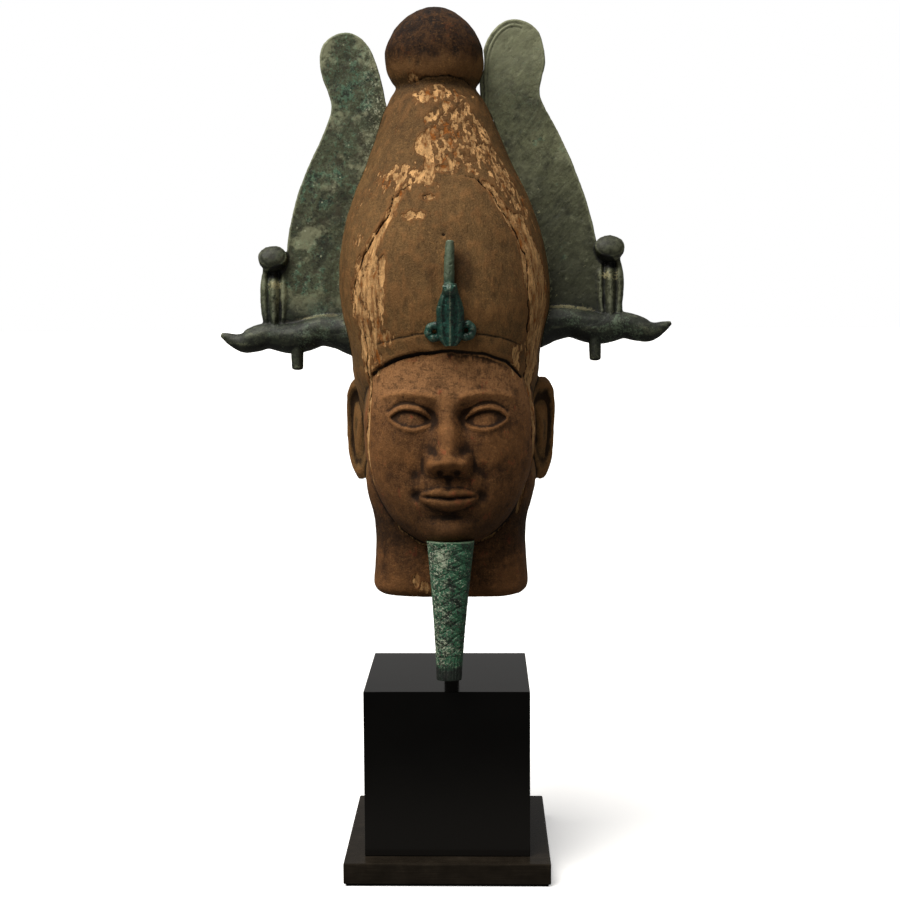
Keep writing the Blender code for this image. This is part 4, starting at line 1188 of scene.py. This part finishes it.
def beard_relief(across, below):
    """The plait's crossing strands and the tassel's straight ones, from 0 to 1, at a depth below the chin."""
    rising = below / PLAIT_PITCH + 0.75 * across
    falling = below / PLAIT_PITCH - 0.75 * across
    over = (np.floor(rising) + np.floor(falling)) % 2 == 0
    turn = np.where(over, rising, falling)
    strand = np.abs(np.sin(math.pi * turn)) ** 0.55
    strand = strand * (0.75 + 0.25 * np.abs(np.sin(math.pi * np.where(over, falling, rising))) ** 0.4)
    strand = strand * (1 + 0.14 * np.sin(6 * math.pi * turn))
    straight = 0.45 * np.abs(np.sin(across * math.pi * 4.2)) ** 0.7
    tassel_from = BEARD_LENGTH - TASSEL_LENGTH
    in_tassel = smooth_step(tassel_from - 2, tassel_from, below)
    carved = strand * (1 - in_tassel) + straight * in_tassel
    at_side = smooth_step(0.75, 1.0, np.abs(across))
    return carved * (1 - at_side) + 0.9 * at_side


def build_beard(looks, rows=330, columns=150):
    """The plaited beard under the chin, which narrows to a tassel."""
    top = np.array(HEAD_ORIGIN) + np.array(BEARD_TOP) * UNIT
    angles = even_angles(columns)
    rings = []
    for k in range(rows + 1):
        down = k / rows
        taper = (1 - down) ** 1.35
        half_width = 0.5 * (BEARD_TIP_WIDTH + (BEARD_TOP_WIDTH - BEARD_TIP_WIDTH) * taper)
        half_depth = 0.5 * (BEARD_TIP_DEPTH + (BEARD_TOP_DEPTH - BEARD_TIP_DEPTH) * taper)
        x, y = oval(angles, half_width, half_depth, half_depth, 3.0)
        below = down * BEARD_LENGTH
        relief = looks.plait_relief / UNIT * (beard_relief(x / half_width, below) - 1)
        end = 1 - 0.03 * smooth_step(0.985, 1, down)
        size = (1 + relief / half_width) * end
        curve = np.array((-0.015 * below, -0.03 * BEARD_LENGTH * down**2, -below))
        rings.append((np.stack([x * size, y * size, np.zeros_like(x)], 1) + curve) * UNIT + top)
    piece = loft("plaited_beard", rings[::-1])
    points = points_of(piece)
    crumbs = smooth_step(0.35, 0.9, noise(points, 0.0016, 73))
    crust = 0.28 * fractal(points, 0.005, 3, 71) + 0.5 * crumbs
    crust = crust * smooth_step(0.0, 0.004, top[2] - points[:, 2] + 0.002)
    set_points(piece, points + normals_of(piece) * (crust * 0.4 * UNIT)[:, None])
    chin_cut = loft("chin_cut", np.array(face_rings(120, 24, 60)) - np.array((0, 0, CLEARANCE * UNIT)))
    cut_back(piece, chin_cut)
    points = points_of(piece)
    store(piece, "hollow", hollows(piece, 10))
    across, below = (points[:, 0] - top[0]) / UNIT, (top[2] - points[:, 2]) / UNIT
    pale = spot(across, below, (-6, 14), (5, 7)) + 0.4 * spot(across, below, (2, 90), (9, 5))
    store(piece, "crust", 0.3 * smooth_step(3, -6, across) + 0.7 * pale)
    store(piece, "tassel", smooth_step(BEARD_LENGTH - TASSEL_LENGTH, BEARD_LENGTH - 4, below))
    return piece


def shade(color, share):
    """A colour made darker or lighter."""
    return tuple(min(1.0, share * value) for value in color)


def old_wood(looks):
    """Brown dry wood under a dark worn layer, with pale ground where the layer is lost, and painted shade in
    its hollows.
    """
    m = Finish("old_wood")
    along_grain = m.stretched((1.0, 1.0, 0.14))
    half_grain = m.stretched((1.0, 1.0, 0.4))
    grain = m.noise(0.0024, 4, 0.65, along_grain)
    streak = m.noise(0.011, 4, 0.6, along_grain)
    cloud = m.noise(0.040, 4, 0.6)
    mottle = m.noise(0.0062, 5, 0.72, half_grain)
    fine = m.noise(0.0019, 3, 0.7)
    lost, broken, crack, line = m.stored("lost"), m.stored("broken"), m.stored("crack"), m.stored("line")
    hollow, face, bulb, soot = m.stored("hollow"), m.stored("face"), m.stored("bulb"), m.stored("soot")
    up = m.axis("Z")

    tone = cloud * 0.35 + streak * 0.15 + mottle * 0.3 + m.noise(0.0045, 5, 0.8) * 0.2
    brown, warm, ground = tuple(looks.wood_brown), tuple(looks.face_brown), tuple(looks.pale_ground)
    m.color = m.mix(face, m.ramp(tone, (0.36, shade(brown, 0.5)), (0.5, brown), (0.64, shade(brown, 1.55))),
                    m.ramp(tone, (0.38, shade(warm, 0.42)), (0.5, warm), (0.62, shade(warm, 1.75))))
    sooty = m.ramp(tone * 0.6 + mottle * 0.4,
                   (0.4, srgb(10, 6, 3)), (0.5, srgb(22, 12, 5)), (0.6, srgb(60, 32, 14)))
    m.over(bulb * 0.97, sooty)
    lit_brow = up.edge_over(NECK_UNDERSIDE, 0.150, 0.185) * face
    m.over(lit_brow * 0.75, srgb(184, 132, 86))
    across_grain = m.noise(0.0042, 5, 0.8, m.stretched((0.45, 1.0, 1.0)))
    m.over(across_grain.edge(0.50, 0.64) * face * 0.55, srgb(40, 24, 12))
    m.over(across_grain.edge(0.46, 0.36) * face * 0.35, srgb(160, 112, 70))
    high = up.edge_over(NECK_UNDERSIDE, 0.345, 0.430)
    m.over(high * 0.38, srgb(44, 28, 13))
    m.over(grain.edge(0.54, 0.66) * 0.3, srgb(56, 36, 18))
    grit = m.noise(0.0012, 4, 0.85)
    m.over(grit.edge(0.5, 0.62) * 0.45, srgb(48, 32, 17))
    m.over(grit.edge(0.46, 0.36) * 0.3, srgb(178, 138, 90))
    m.over(fine.edge(0.56, 0.68) * mottle.edge(0.46, 0.58) * 0.5, srgb(176, 130, 76))
    m.over(fine.edge(0.44, 0.34) * 0.35, srgb(52, 33, 16))
    red_traces = m.noise(0.014, 4, 0.65).edge(0.58, 0.66) * mottle.edge(0.46, 0.58) * face
    m.over(red_traces * 0.5, srgb(160, 74, 48))
    smoke = m.noise(0.017, 5, 0.7).edge(0.52, 0.62) * face
    m.over(smoke * 0.45, srgb(48, 29, 15))

    speckle = (mottle - 0.5) * 26 + (fine - 0.5) * 9
    ragged = lost + speckle * broken * 0.35 + speckle * 0.16
    bare = m.ramp(m.noise(0.0085, 4, 0.7, half_grain), (0.36, srgb(150, 88, 34)), (0.46, shade(ground, 0.62)),
                  (0.55, ground), (0.68, shade(ground, 1.35)))
    bare = m.mix(grain.edge(0.5, 0.62) * 0.7, bare, srgb(120, 74, 34))
    bare = m.mix((fine * 0.6 + mottle * 0.4).edge(0.47, 0.38) * 0.7, bare, srgb(70, 43, 20))
    worn = ragged.edge(-0.4, 0.6)
    m.over(ragged.edge(-3.0, -0.4) * 0.45, srgb(122, 76, 36))
    m.over(worn, bare)
    m.over(ragged.edge(-0.9, -0.2) * ragged.edge(0.5, 0.0) * 0.4, srgb(60, 38, 20))

    rubbed = (hollow * -1).frayed(grain, 0.4).edge(0.08, 0.45)
    m.over(rubbed * 0.25, srgb(172, 118, 68))
    # Painted shade in the hollows, lighter where the dark layer is worn through.
    hollow_shade = hollow.frayed(fine, 0.3).edge(0.04, 0.6)
    m.over(hollow_shade * 0.85 * (1 - 0.75 * worn), srgb(26, 15, 8))
    split = crack.frayed(fine, 0.5).edge(-0.2, 0.3)
    m.over(split * 0.92, srgb(20, 12, 7))
    cut = line.frayed(fine, 0.7).edge(-0.6, 0.4)
    m.over(cut * 0.85, srgb(22, 13, 8))
    chin_shade = up.edge_over(NECK_UNDERSIDE, 0.120, 0.060) * face
    chin_shade = chin_shade * up.edge_over(NECK_UNDERSIDE, 0.035, 0.055)
    m.over(chin_shade * 0.95, (0.36, 0.36, 0.34), "MULTIPLY")
    # Painted shade on the neck below the chin.
    neck_shade = up.edge_over(NECK_UNDERSIDE, 0.060, 0.040) * face
    m.over(neck_shade * 0.5, (0.55, 0.52, 0.48), "MULTIPLY")
    # Painted shade round the brow cobra, multiplied over the wood's colour.
    painted_cobra_shade = soot.frayed(mottle, 1.2).edge(0.2, 0.8)
    m.over(painted_cobra_shade * 0.75, (0.22, 0.20, 0.18), "MULTIPLY")
    murk = bulb * (m.noise(0.016, 5, 0.75, twist=0.8) * 0.7 + fine * 0.3).edge(0.58, 0.42)
    m.over(bulb * 0.65, (0.34, 0.30, 0.24), "MULTIPLY")
    m.over(murk * 0.9, (0.16, 0.13, 0.08), "MULTIPLY")
    ruddy = bulb * m.noise(0.013, 5, 0.75, twist=0.8).edge(0.55, 0.68)
    m.over(ruddy * 0.4, srgb(108, 58, 24))
    m.vary("Base Color", m.color)
    m.vary("Roughness", (0.55 + 0.25 * fine + 0.15 * worn).clipped())
    m.constants(Specular_IOR_Level=0.16)
    rough = grain * (0.6 - 0.3 * face) + fine * 0.6 + grit * 0.6 + mottle * (0.6 + 0.6 * face)
    m.relief(rough - worn * 0.4 - split, 0.0011, 1.0)
    return m.material


def green_bronze(name, color_mean, teal, brushed):
    """Old bronze under a matt patina: grey-green, brighter green, dark mottles, pale specks, painted shade
    and painted highlights.
    """
    m = Finish(name)
    cloud = m.noise(0.034, 5, 0.62, twist=0.5)
    mottle = m.noise(0.0075, 5, 0.72)
    fine = m.noise(0.0017, 4, 0.75)
    specks = m.cells(0.0050)
    strokes = m.noise(0.0024, 4, 0.65, m.turned((0, math.radians(-48), 0), (4.5, 1.0, 1.0)))
    hollow, rim, under = m.stored("hollow"), m.stored("rim"), m.stored("under")
    seam, throat, inner, collar = m.stored("seam"), m.stored("throat"), m.stored("inner"), m.stored("collar")
    disc, up = m.stored("disc"), m.axis("Z")
    tone = cloud * 0.5 + mottle * (0.5 - 0.35 * brushed) + strokes * (0.35 * brushed)
    base = m.ramp(tone, (0.36, shade(color_mean, 0.32)), (0.5, color_mean), (0.64, shade(color_mean, 1.8)))
    bright = m.ramp(fine, (0.35, srgb(38, 78, 64)), (0.65, srgb(96, 146, 118)))
    bloom = mottle.frayed(cloud, 0.9).edge(0.66 - 0.12 * teal, 0.78 - 0.12 * teal)
    m.color = m.mix(bloom * 0.7, base, bright)
    upper = 0.25 + 0.5 * up.edge_over(CROWN_ORIGIN.z, 0.14, 0.24)
    m.over(fine.edge(0.53, 0.63) * upper * (0.2 + 0.5 * teal), bright)
    m.over(fine.edge(0.47, 0.37) * (0.3 + 0.3 * teal), srgb(26, 29, 21))
    umber = m.noise(0.012, 5, 0.75).edge(0.53, 0.6)
    m.over(umber * (0.2 + 0.35 * teal), srgb(62, 54, 38))
    dark_patch = m.noise(0.0062, 5, 0.78).frayed(cloud, 0.8).edge(0.56, 0.66)
    m.over(dark_patch * (0.75 - 0.4 * brushed), srgb(34, 33, 24))
    stain = m.noise(0.020, 5, 0.7, twist=0.6).frayed(mottle, 0.5).edge(0.53, 0.66)
    m.over(stain * (0.8 - 0.2 * brushed), (0.22, 0.22, 0.2), "MULTIPLY")
    clear = m.noise(0.028, 4, 0.6).frayed(mottle, 0.4).edge(0.52, 0.66)
    m.over(clear * (0.6 - 0.35 * brushed), srgb(162, 164, 130))
    top = up.edge_over(CROWN_ORIGIN.z, 0.20, 0.26) * brushed
    m.over(top * 0.35, srgb(170, 172, 138))
    speckled = specks.edge(0.20, 0.08) * mottle.edge(0.52, 0.62)
    m.over(speckled * (0.3 + 0.6 * teal), srgb(186, 190, 160))
    low = up.edge_over(CROWN_ORIGIN.z, 0.190, 0.030)
    m.over(low * (0.1 + 0.65 * brushed), srgb(32, 34, 22))
    crust = (fine * 0.6 + mottle * 0.4).edge(0.46, 0.56)
    at_crown = inner.edge(74, 52) * up.edge_over(CROWN_ORIGIN.z, 0.06, 0.13) * teal
    crumbs = fine.frayed(mottle, 0.6).edge(0.55, 0.64)
    m.over(at_crown * crust * 0.4, srgb(140, 138, 106))
    m.over(at_crown * crumbs * 0.8, srgb(204, 204, 178))
    # Darker on the horns: partly their darker patina, partly painted shade.
    horn = up.edge_over(CROWN_ORIGIN.z, 0.045, 0.022)
    m.over(horn * 0.65, srgb(24, 33, 26))
    # Paler on the ridges: rubbed wear, and a painted highlight.
    rubbed = (hollow * -1).frayed(fine, 0.4).frayed(mottle, 0.8).edge(0.05, 0.4)
    m.over(rubbed * 0.5, srgb(148, 152, 122))
    # Painted shade in the hollows.
    m.over(hollow.frayed(fine, 0.15).edge(0.05, 0.4) * 0.85, srgb(14, 18, 13))
    # A painted highlight along each horn's top, and pale crust at the cobra's collar.
    flecked = (fine - 0.5) * 3.0 + (mottle - 0.5) * 2.5
    m.over((seam.largest(collar) + flecked).edge(0.6, 0.95) * 0.75, srgb(166, 158, 116))
    # Painted shade on the horns' undersides.
    m.over(under.frayed(fine, 0.4).edge(0.2, 0.8) * 0.75, srgb(10, 14, 11))
    # Painted shadow under each sun disc, and in the stripe that stands for a shadowed slot.
    m.over(throat.frayed(fine, 0.3).edge(0.35, 0.6) * 0.95, srgb(5, 6, 4))
    m.over(disc.frayed(mottle, 1.4).edge(0.3, 0.8) * 0.85, (0.2, 0.21, 0.17), "MULTIPLY")
    m.over(horn * mottle.frayed(fine, 0.6).edge(0.44, 0.56) * 0.85, srgb(10, 14, 11))
    m.over(horn * cloud.frayed(fine, 0.7).edge(0.56, 0.66) * 0.5, srgb(104, 122, 98))
    pits = m.cells(0.0065).edge(0.12, 0.05) * cloud.edge(0.55, 0.63)
    m.over(pits * 0.7, srgb(20, 24, 17))
    m.vary("Base Color", m.color)
    m.vary("Roughness", (0.42 + 0.3 * mottle).clipped())
    m.constants(Metallic=0.12, Specular_IOR_Level=0.4)
    rough = fine * 0.5 + mottle * 0.6 - pits + rim.edge(3.0, 1.5) * 0.3 + strokes * (0.5 * brushed)
    m.relief(rough, 0.0007, 0.65)
    return m.material


def snake_bronze(looks):
    """The brow cobra's deep glossy blue-green, brighter in the middle and paler up the tail, with painted
    shade in its hollows.
    """
    m = Finish("bright_green_bronze")
    cloud, mottle, fine = m.noise(0.012, 4, 0.6), m.noise(0.004, 4, 0.7), m.noise(0.0012, 3, 0.7)
    hollow, middle = m.stored("hollow"), m.stored("middle")
    teal = tuple(looks.cobra_green)
    tail = m.axis("Z").edge_over(CROWN_ORIGIN.z, 0.048, 0.058)
    deep = m.ramp(cloud * 0.5 + mottle * 0.5, (0.3, shade(teal, 0.22)), (0.5, teal), (0.72, shade(teal, 2.4)))
    pale = m.ramp(mottle, (0.3, srgb(60, 72, 54)), (0.7, srgb(112, 124, 96)))
    m.color = m.mix(tail * 0.85, deep, pale)
    dark_mottle = mottle.frayed(fine, 0.5).edge(0.50, 0.58)
    m.over(dark_mottle * (0.85 - 0.55 * tail), srgb(7, 10, 9))
    m.over(middle.frayed(fine, 2.4).edge(0.7, 1.0) * 0.5 * (1 - tail), srgb(148, 158, 132))
    # Paler on the ridges: rubbed wear, and a painted highlight.
    m.over((hollow * -1).frayed(fine, 0.2).edge(0.05, 0.3) * 0.45, srgb(138, 150, 126))
    # Painted shade in the hollows and inside the coils.
    m.over(hollow.frayed(fine, 0.1).edge(0.04, 0.3) * 0.9, srgb(6, 9, 8))
    m.vary("Base Color", m.color)
    m.vary("Roughness", (0.22 + 0.3 * mottle + 0.2 * tail).clipped())
    m.constants(Metallic=0.15, Specular_IOR_Level=0.55)
    m.relief(fine * 0.6 + mottle * 0.9, 0.0008, 0.8)
    return m.material


def beard_bronze(looks):
    """The beard's dark green patina with pale crust and painted highlights on its strands, painted shade in
    the gaps, black at the tip.
    """
    m = Finish("beard_green_bronze")
    cloud, mottle, fine = m.noise(0.014, 4, 0.6), m.noise(0.0045, 4, 0.7), m.noise(0.0010, 3, 0.7)
    hollow, crust, tassel = m.stored("hollow"), m.stored("crust"), m.stored("tassel")
    mean = tuple(looks.beard_green)
    green = m.ramp(cloud * 0.5 + mottle * 0.5, (0.34, shade(mean, 0.35)), (0.48, mean),
                   (0.60, shade(mean, 2.2)), (0.74, shade(mean, 4.0)))
    m.color = m.mix(mottle.frayed(fine, 0.8).edge(0.50, 0.58) * 0.85, green, srgb(18, 19, 15))
    vivid = mottle.frayed(fine, 0.8).edge(0.52, 0.42)
    m.over(vivid * 0.45, srgb(60, 128, 90))
    grains = m.noise(0.0022, 4, 0.8)
    crumbs = crust.frayed(fine, 2.0).frayed(grains, 4.0).edge(0.35, 0.75)
    m.over(crumbs * 0.85, srgb(178, 188, 162))
    # Paler on the strands' ridges: rubbed wear, and a painted highlight.
    m.over((hollow * -1).frayed(fine, 0.2).edge(0.08, 0.4) * 0.45, srgb(128, 146, 116))
    # Painted shade in the gaps between the strands.
    m.over(hollow.frayed(fine, 0.2).edge(0.05, 0.4) * 0.9, srgb(8, 11, 9))
    black_tip = tassel.frayed(fine, 0.6).frayed(mottle, 0.5).edge(0.35, 0.8)
    m.over(black_tip * 0.92, srgb(8, 10, 9))
    m.vary("Base Color", m.color)
    m.vary("Roughness", (0.42 + 0.3 * mottle).clipped())
    m.constants(Metallic=0.1, Specular_IOR_Level=0.5)
    m.relief(fine * 0.6 + mottle * 0.6, 0.0009, 0.9)
    return m.material


def black_lacquer(looks):
    """Polished black with the faint haze and fine wipe marks of a cleaned gloss surface, and a painted floor
    reflection low down.
    """
    m = Finish("black_lacquer")
    haze = m.noise(0.035, 3, 0.5)
    wipes = m.noise(0.0012, 2, 0.6, m.stretched((1.0, 0.6, 0.05)))
    black = tuple(looks.lacquer_black)
    # A painted reflection of the floor, lightening the black toward the block's foot.
    floor_reflection = m.axis("Z").edge(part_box("block")[1].z * 0.8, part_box("block")[0].z)
    sheen = m.mix(haze, shade(black, 0.3), shade(black, 0.8))
    m.vary("Base Color", m.mix(floor_reflection, sheen, shade(black, 3.0)))
    m.vary("Roughness", (0.07 + 0.05 * haze + 0.05 * wipes).clipped())
    m.constants(Specular_IOR_Level=0.12)
    m.relief(wipes, 0.00002, 0.3)
    return m.material


def dark_plate(looks):
    """Dark patinated plate, brushed along its length."""
    m = Finish("dark_plate")
    brushed = m.noise(0.0010, 3, 0.6, m.stretched((0.04, 1.0, 1.0)))
    cloud = m.noise(0.020, 4, 0.6)
    dark = tuple(looks.plate_brown)
    m.color = m.ramp(cloud * 0.6 + brushed * 0.4,
                     (0.3, shade(dark, 0.45)), (0.55, dark), (0.8, shade(dark, 2.2)))
    m.vary("Base Color", m.color)
    m.vary("Roughness", (0.16 + 0.12 * cloud + 0.10 * brushed).clipped())
    m.constants(Metallic=0.0, Specular_IOR_Level=0.06)
    m.relief(brushed, 0.00004, 0.4)
    return m.material


def black_paint():
    """Satin black paint on the square post, lightly rubbed."""
    m = Finish("black_paint")
    mottle, streak = m.noise(0.004, 3, 0.6), m.noise(0.0012, 3, 0.6, m.stretched((1.0, 1.0, 0.08)))
    m.vary("Base Color", m.mix(streak, srgb(9, 8, 8), srgb(20, 19, 18)))
    m.vary("Roughness", (0.28 + 0.16 * mottle).clipped())
    m.constants(Specular_IOR_Level=0.3)
    m.relief(mottle, 0.00005, 0.4)
    return m.material


def black_felt():
    """Black felt with short matted fibres."""
    m = Finish("black_felt")
    fibres = m.noise(0.0006, 4, 0.8)
    m.vary("Base Color", m.mix(fibres, srgb(6, 6, 6), srgb(20, 20, 20)))
    m.constants(Roughness=0.95, Specular_IOR_Level=0.15)
    m.relief(fibres, 0.0003, 0.8)
    return m.material


def pale_floor():
    """A white floor that throws only a little light back up at the object."""
    m = Finish("pale_floor")
    m.vary("Base Color", m.mix(m.noise(0.4, 2, 0.5), (0.93, 0.93, 0.93), (0.95, 0.95, 0.95)))
    m.constants(Roughness=0.9, Specular_IOR_Level=0.0, Emission_Color=(1, 1, 1, 1), Emission_Strength=0.32)
    grey = m.node("ShaderNodeBsdfDiffuse", {}, {"Color": (0.16, 0.16, 0.155, 1)})
    seen = m.node("ShaderNodeLightPath").outputs["Is Camera Ray"]
    both = m.node("ShaderNodeMixShader", {}, {0: seen, 1: grey.outputs[0], 2: m.shader.outputs[0]})
    m.tree.links.new(both.outputs[0], m.tree.nodes["Material Output"].inputs["Surface"])
    return m.material


def keep_solid(node, material):
    """Gives a solid that keeps its own shape a new material."""
    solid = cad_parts[node]
    solid.data.materials.clear()
    solid.data.materials.append(material)


def length_setting(name, description, default):
    return bpy.props.FloatProperty(
        name=name, description=description, default=default, unit="LENGTH", subtype="DISTANCE", precision=5
    )


def color_setting(name, description, default):
    return bpy.props.FloatVectorProperty(
        name=name, description=description, default=default, subtype="COLOR", min=0, max=1
    )


def angle_setting(name, description, default):
    return bpy.props.FloatProperty(name=name, description=description, default=default, subtype="ANGLE")


class HeadLooks(bpy.types.PropertyGroup):
    """How finely the pieces are carved, and their colours."""

    wood_step: length_setting("Wood step", "How fine the wood's mesh is made", 0.00105)
    casting_step: length_setting("Casting step", "How fine the plumes' and horns' meshes are made", 0.0008)
    cobra_step: length_setting("Cobra step", "How fine the brow cobra's mesh is made", 0.0005)
    layer_depth: length_setting("Layer depth", "How deep the bare patches of the wood lie", 0.0007)
    crack_depth: length_setting("Crack depth", "How deep the cracks in the wood are", 0.0019)
    line_depth: length_setting("Line depth", "How deep the line under the crown's edge is cut", 0.0016)
    plait_relief: length_setting("Plait relief", "How far the beard's strands stand out", 0.0014)
    wood_brown: color_setting("Wood brown", "The crown's worn brown", srgb(114, 85, 50))
    face_brown: color_setting("Face brown", "The warmer brown of the face and neck", srgb(106, 70, 40))
    pale_ground: color_setting("Pale ground", "What shows where the layer is lost", srgb(216, 168, 112))
    left_green: color_setting("Left green", "The patina on the viewer's left", srgb(84, 88, 64))
    right_green: color_setting("Right green", "The patina on the viewer's right", srgb(96, 98, 72))
    cobra_green: color_setting("Cobra green", "The brow cobra's blue-green", srgb(28, 74, 62))
    beard_green: color_setting("Beard green", "The beard's dark green", srgb(30, 58, 42))
    lacquer_black: color_setting("Lacquer black", "The block's polished black", srgb(11, 10, 9))
    plate_brown: color_setting("Plate brown", "The plinth's dark brown", srgb(36, 31, 25))


class HeadView(bpy.types.PropertyGroup):
    """Where the camera and the main light stand."""

    camera_place: bpy.props.FloatVectorProperty(
        name="Camera place", description="Where the camera stands", unit="LENGTH",
        default=(0.02898, -1.26982, 0.48251),
    )
    lens: bpy.props.FloatProperty(name="Lens", description="Focal length in millimetres", default=58.54)
    tilt: angle_setting("Tilt", "How far the camera looks down", 0.097)
    yaw: angle_setting("Yaw", "How far the camera looks to its right", -0.0209)
    roll: angle_setting("Roll", "How far the camera is turned", -0.0051)
    key_strength: bpy.props.FloatProperty(name="Key light", description="How strong it is", default=3.7)
    key_softness: angle_setting("Key softness", "How broad the main light is", 0.8)
    key_direction: bpy.props.FloatVectorProperty(
        name="Key direction", description="Where the main light stands", subtype="DIRECTION",
        default=(-0.72, -0.62, 1.4),
    )


FLOOR_HALF_SIDE = 30


class HEAD_OT_stage(bpy.types.Operator):
    """Adds the floor, the light and the camera"""

    bl_idname = "crowned_head.stage"
    bl_label = "Stage"

    def execute(self, context):
        settings = context.scene.crowned_head_view
        bm = bmesh.new()
        bmesh.ops.create_grid(bm, x_segments=1, y_segments=1, size=FLOOR_HALF_SIDE)
        floor = from_bmesh("floor", bm)
        floor.data.materials.append(pale_floor())
        context.scene.view_settings.view_transform = "Standard"
        add_world(context.scene)
        add_key_light(settings)
        add_camera(settings)
        return {"FINISHED"}


def add_key_light(settings):
    """One broad light, high up and to the left, far enough away to light the floor evenly."""
    data = bpy.data.lights.new("key_light", "SUN")
    data.energy = settings.key_strength
    data.angle = settings.key_softness
    data.color = (1.0, 0.97, 0.92)
    light = new_object("key_light", data)
    light.rotation_euler = Vector(settings.key_direction).to_track_quat("Z", "Y").to_euler()


def add_world(scene):
    """White behind the object and above it, and dim in front of it, as in a studio with one pale wall."""
    world = bpy.data.worlds.new("studio")
    world.use_nodes = True
    scene.world = world
    tree = world.node_tree
    tree.nodes.clear()
    output = tree.nodes.new("ShaderNodeOutputWorld")
    place = tree.nodes.new("ShaderNodeTexCoord")
    split = tree.nodes.new("ShaderNodeSeparateXYZ")
    tree.links.new(place.outputs["Generated"], split.inputs["Vector"])
    forward = Field(tree, split.outputs["Y"])
    above = Field(tree, split.outputs["Z"])
    strength = 0.05 + 0.25 * forward.edge(0.1, 0.8) + 0.55 * above.edge(0.35, 1.0)
    lit = tree.nodes.new("ShaderNodeBackground")
    lit.inputs["Color"].default_value = (1.0, 0.98, 0.95, 1)
    tree.links.new(strength.socket, lit.inputs["Strength"])
    seen = tree.nodes.new("ShaderNodeBackground")
    seen.inputs["Color"].default_value = (1, 1, 1, 1)
    seen.inputs["Strength"].default_value = 1.0
    ray = tree.nodes.new("ShaderNodeLightPath")
    both = tree.nodes.new("ShaderNodeMixShader")
    tree.links.new(ray.outputs["Is Camera Ray"], both.inputs[0])
    tree.links.new(lit.outputs[0], both.inputs[1])
    tree.links.new(seen.outputs[0], both.inputs[2])
    tree.links.new(both.outputs[0], output.inputs["Surface"])


def add_camera(settings):
    """The camera at the photograph's place, from how far it tilts, turns and rolls."""
    tilt, yaw, roll = settings.tilt, settings.yaw, settings.roll
    ahead = Vector((math.sin(yaw) * math.cos(tilt), math.cos(yaw) * math.cos(tilt), -math.sin(tilt)))
    right = Vector((math.cos(yaw), -math.sin(yaw), 0))
    up = right.cross(ahead)
    rolled_right = right * math.cos(roll) + up * math.sin(roll)
    rolled_up = up * math.cos(roll) - right * math.sin(roll)
    data = bpy.data.cameras.new("camera")
    data.sensor_width = 36
    data.lens = settings.lens
    camera = new_object("camera", data)
    turn = Matrix((rolled_right, rolled_up, -ahead)).transposed().to_4x4()
    camera.matrix_world = Matrix.Translation(settings.camera_place) @ turn
    bpy.context.scene.camera = camera


class HEAD_OT_head(bpy.types.Operator):
    """Carves the wooden head and crown"""

    bl_idname = "crowned_head.head"
    bl_label = "Head and crown"

    def execute(self, context):
        looks = context.scene.crowned_head_looks
        dress(build_head(looks), "head_and_crown", old_wood(looks))
        return {"FINISHED"}


class HEAD_OT_plumes(bpy.types.Operator):
    """Casts the two bronzes with their plumes, horns, cobras and pegs"""

    bl_idname = "crowned_head.plumes"
    bl_label = "Plumes and horns"

    def execute(self, context):
        looks = context.scene.crowned_head_looks
        left = build_plume("plume_casting_left", -1, looks)
        left_finish = green_bronze("left_green_bronze", tuple(looks.left_green), 1.0, 0.0)
        dress(left, "plume_and_horn_left", left_finish)
        right = build_plume("plume_casting_right", 1, looks)
        right_finish = green_bronze("right_green_bronze", tuple(looks.right_green), 0.0, 1.0)
        dress(right, "plume_and_horn_right", right_finish)
        return {"FINISHED"}


class HEAD_OT_brow_cobra(bpy.types.Operator):
    """Casts the cobra on the brow"""

    bl_idname = "crowned_head.brow_cobra"
    bl_label = "Brow cobra"

    def execute(self, context):
        looks = context.scene.crowned_head_looks
        dress(build_brow_cobra(looks), "brow_cobra", snake_bronze(looks))
        return {"FINISHED"}


class HEAD_OT_beard(bpy.types.Operator):
    """Casts the plaited beard"""

    bl_idname = "crowned_head.beard"
    bl_label = "Beard"

    def execute(self, context):
        looks = context.scene.crowned_head_looks
        dress(build_beard(looks), "beard", beard_bronze(looks))
        return {"FINISHED"}


class HEAD_OT_stand(bpy.types.Operator):
    """Finishes the post, block, plinth and felt pad"""

    bl_idname = "crowned_head.stand"
    bl_label = "Stand"

    def execute(self, context):
        looks = context.scene.crowned_head_looks
        keep_solid("post", black_paint())
        keep_solid("block", black_lacquer(looks))
        keep_solid("plinth", dark_plate(looks))
        keep_solid("felt_pad", black_felt())
        return {"FINISHED"}


OPERATORS = (HEAD_OT_stage, HEAD_OT_head, HEAD_OT_plumes, HEAD_OT_brow_cobra, HEAD_OT_beard, HEAD_OT_stand)


class HEAD_PT_panel(bpy.types.Panel):
    """Lists the steps that build the head"""

    bl_idname = "HEAD_PT_panel"
    bl_label = "Crowned Head"
    bl_space_type = "VIEW_3D"
    bl_region_type = "UI"
    bl_category = "Crowned Head"

    def draw(self, context):
        for operator in OPERATORS:
            self.layout.operator(operator.bl_idname)


CLASSES = (HeadLooks, HeadView, *OPERATORS, HEAD_PT_panel)


def register():
    for item in CLASSES:
        bpy.utils.register_class(item)
    bpy.types.Scene.crowned_head_looks = bpy.props.PointerProperty(type=HeadLooks)
    bpy.types.Scene.crowned_head_view = bpy.props.PointerProperty(type=HeadView)


def unregister():
    del bpy.types.Scene.crowned_head_view
    del bpy.types.Scene.crowned_head_looks
    for item in reversed(CLASSES):
        bpy.utils.unregister_class(item)


def main():
    register()
    bpy.ops.crowned_head.stage()
    bpy.ops.crowned_head.head()
    bpy.ops.crowned_head.plumes()
    bpy.ops.crowned_head.brow_cobra()
    bpy.ops.crowned_head.beard()
    bpy.ops.crowned_head.stand()


if __name__ == "__main__":
    main()
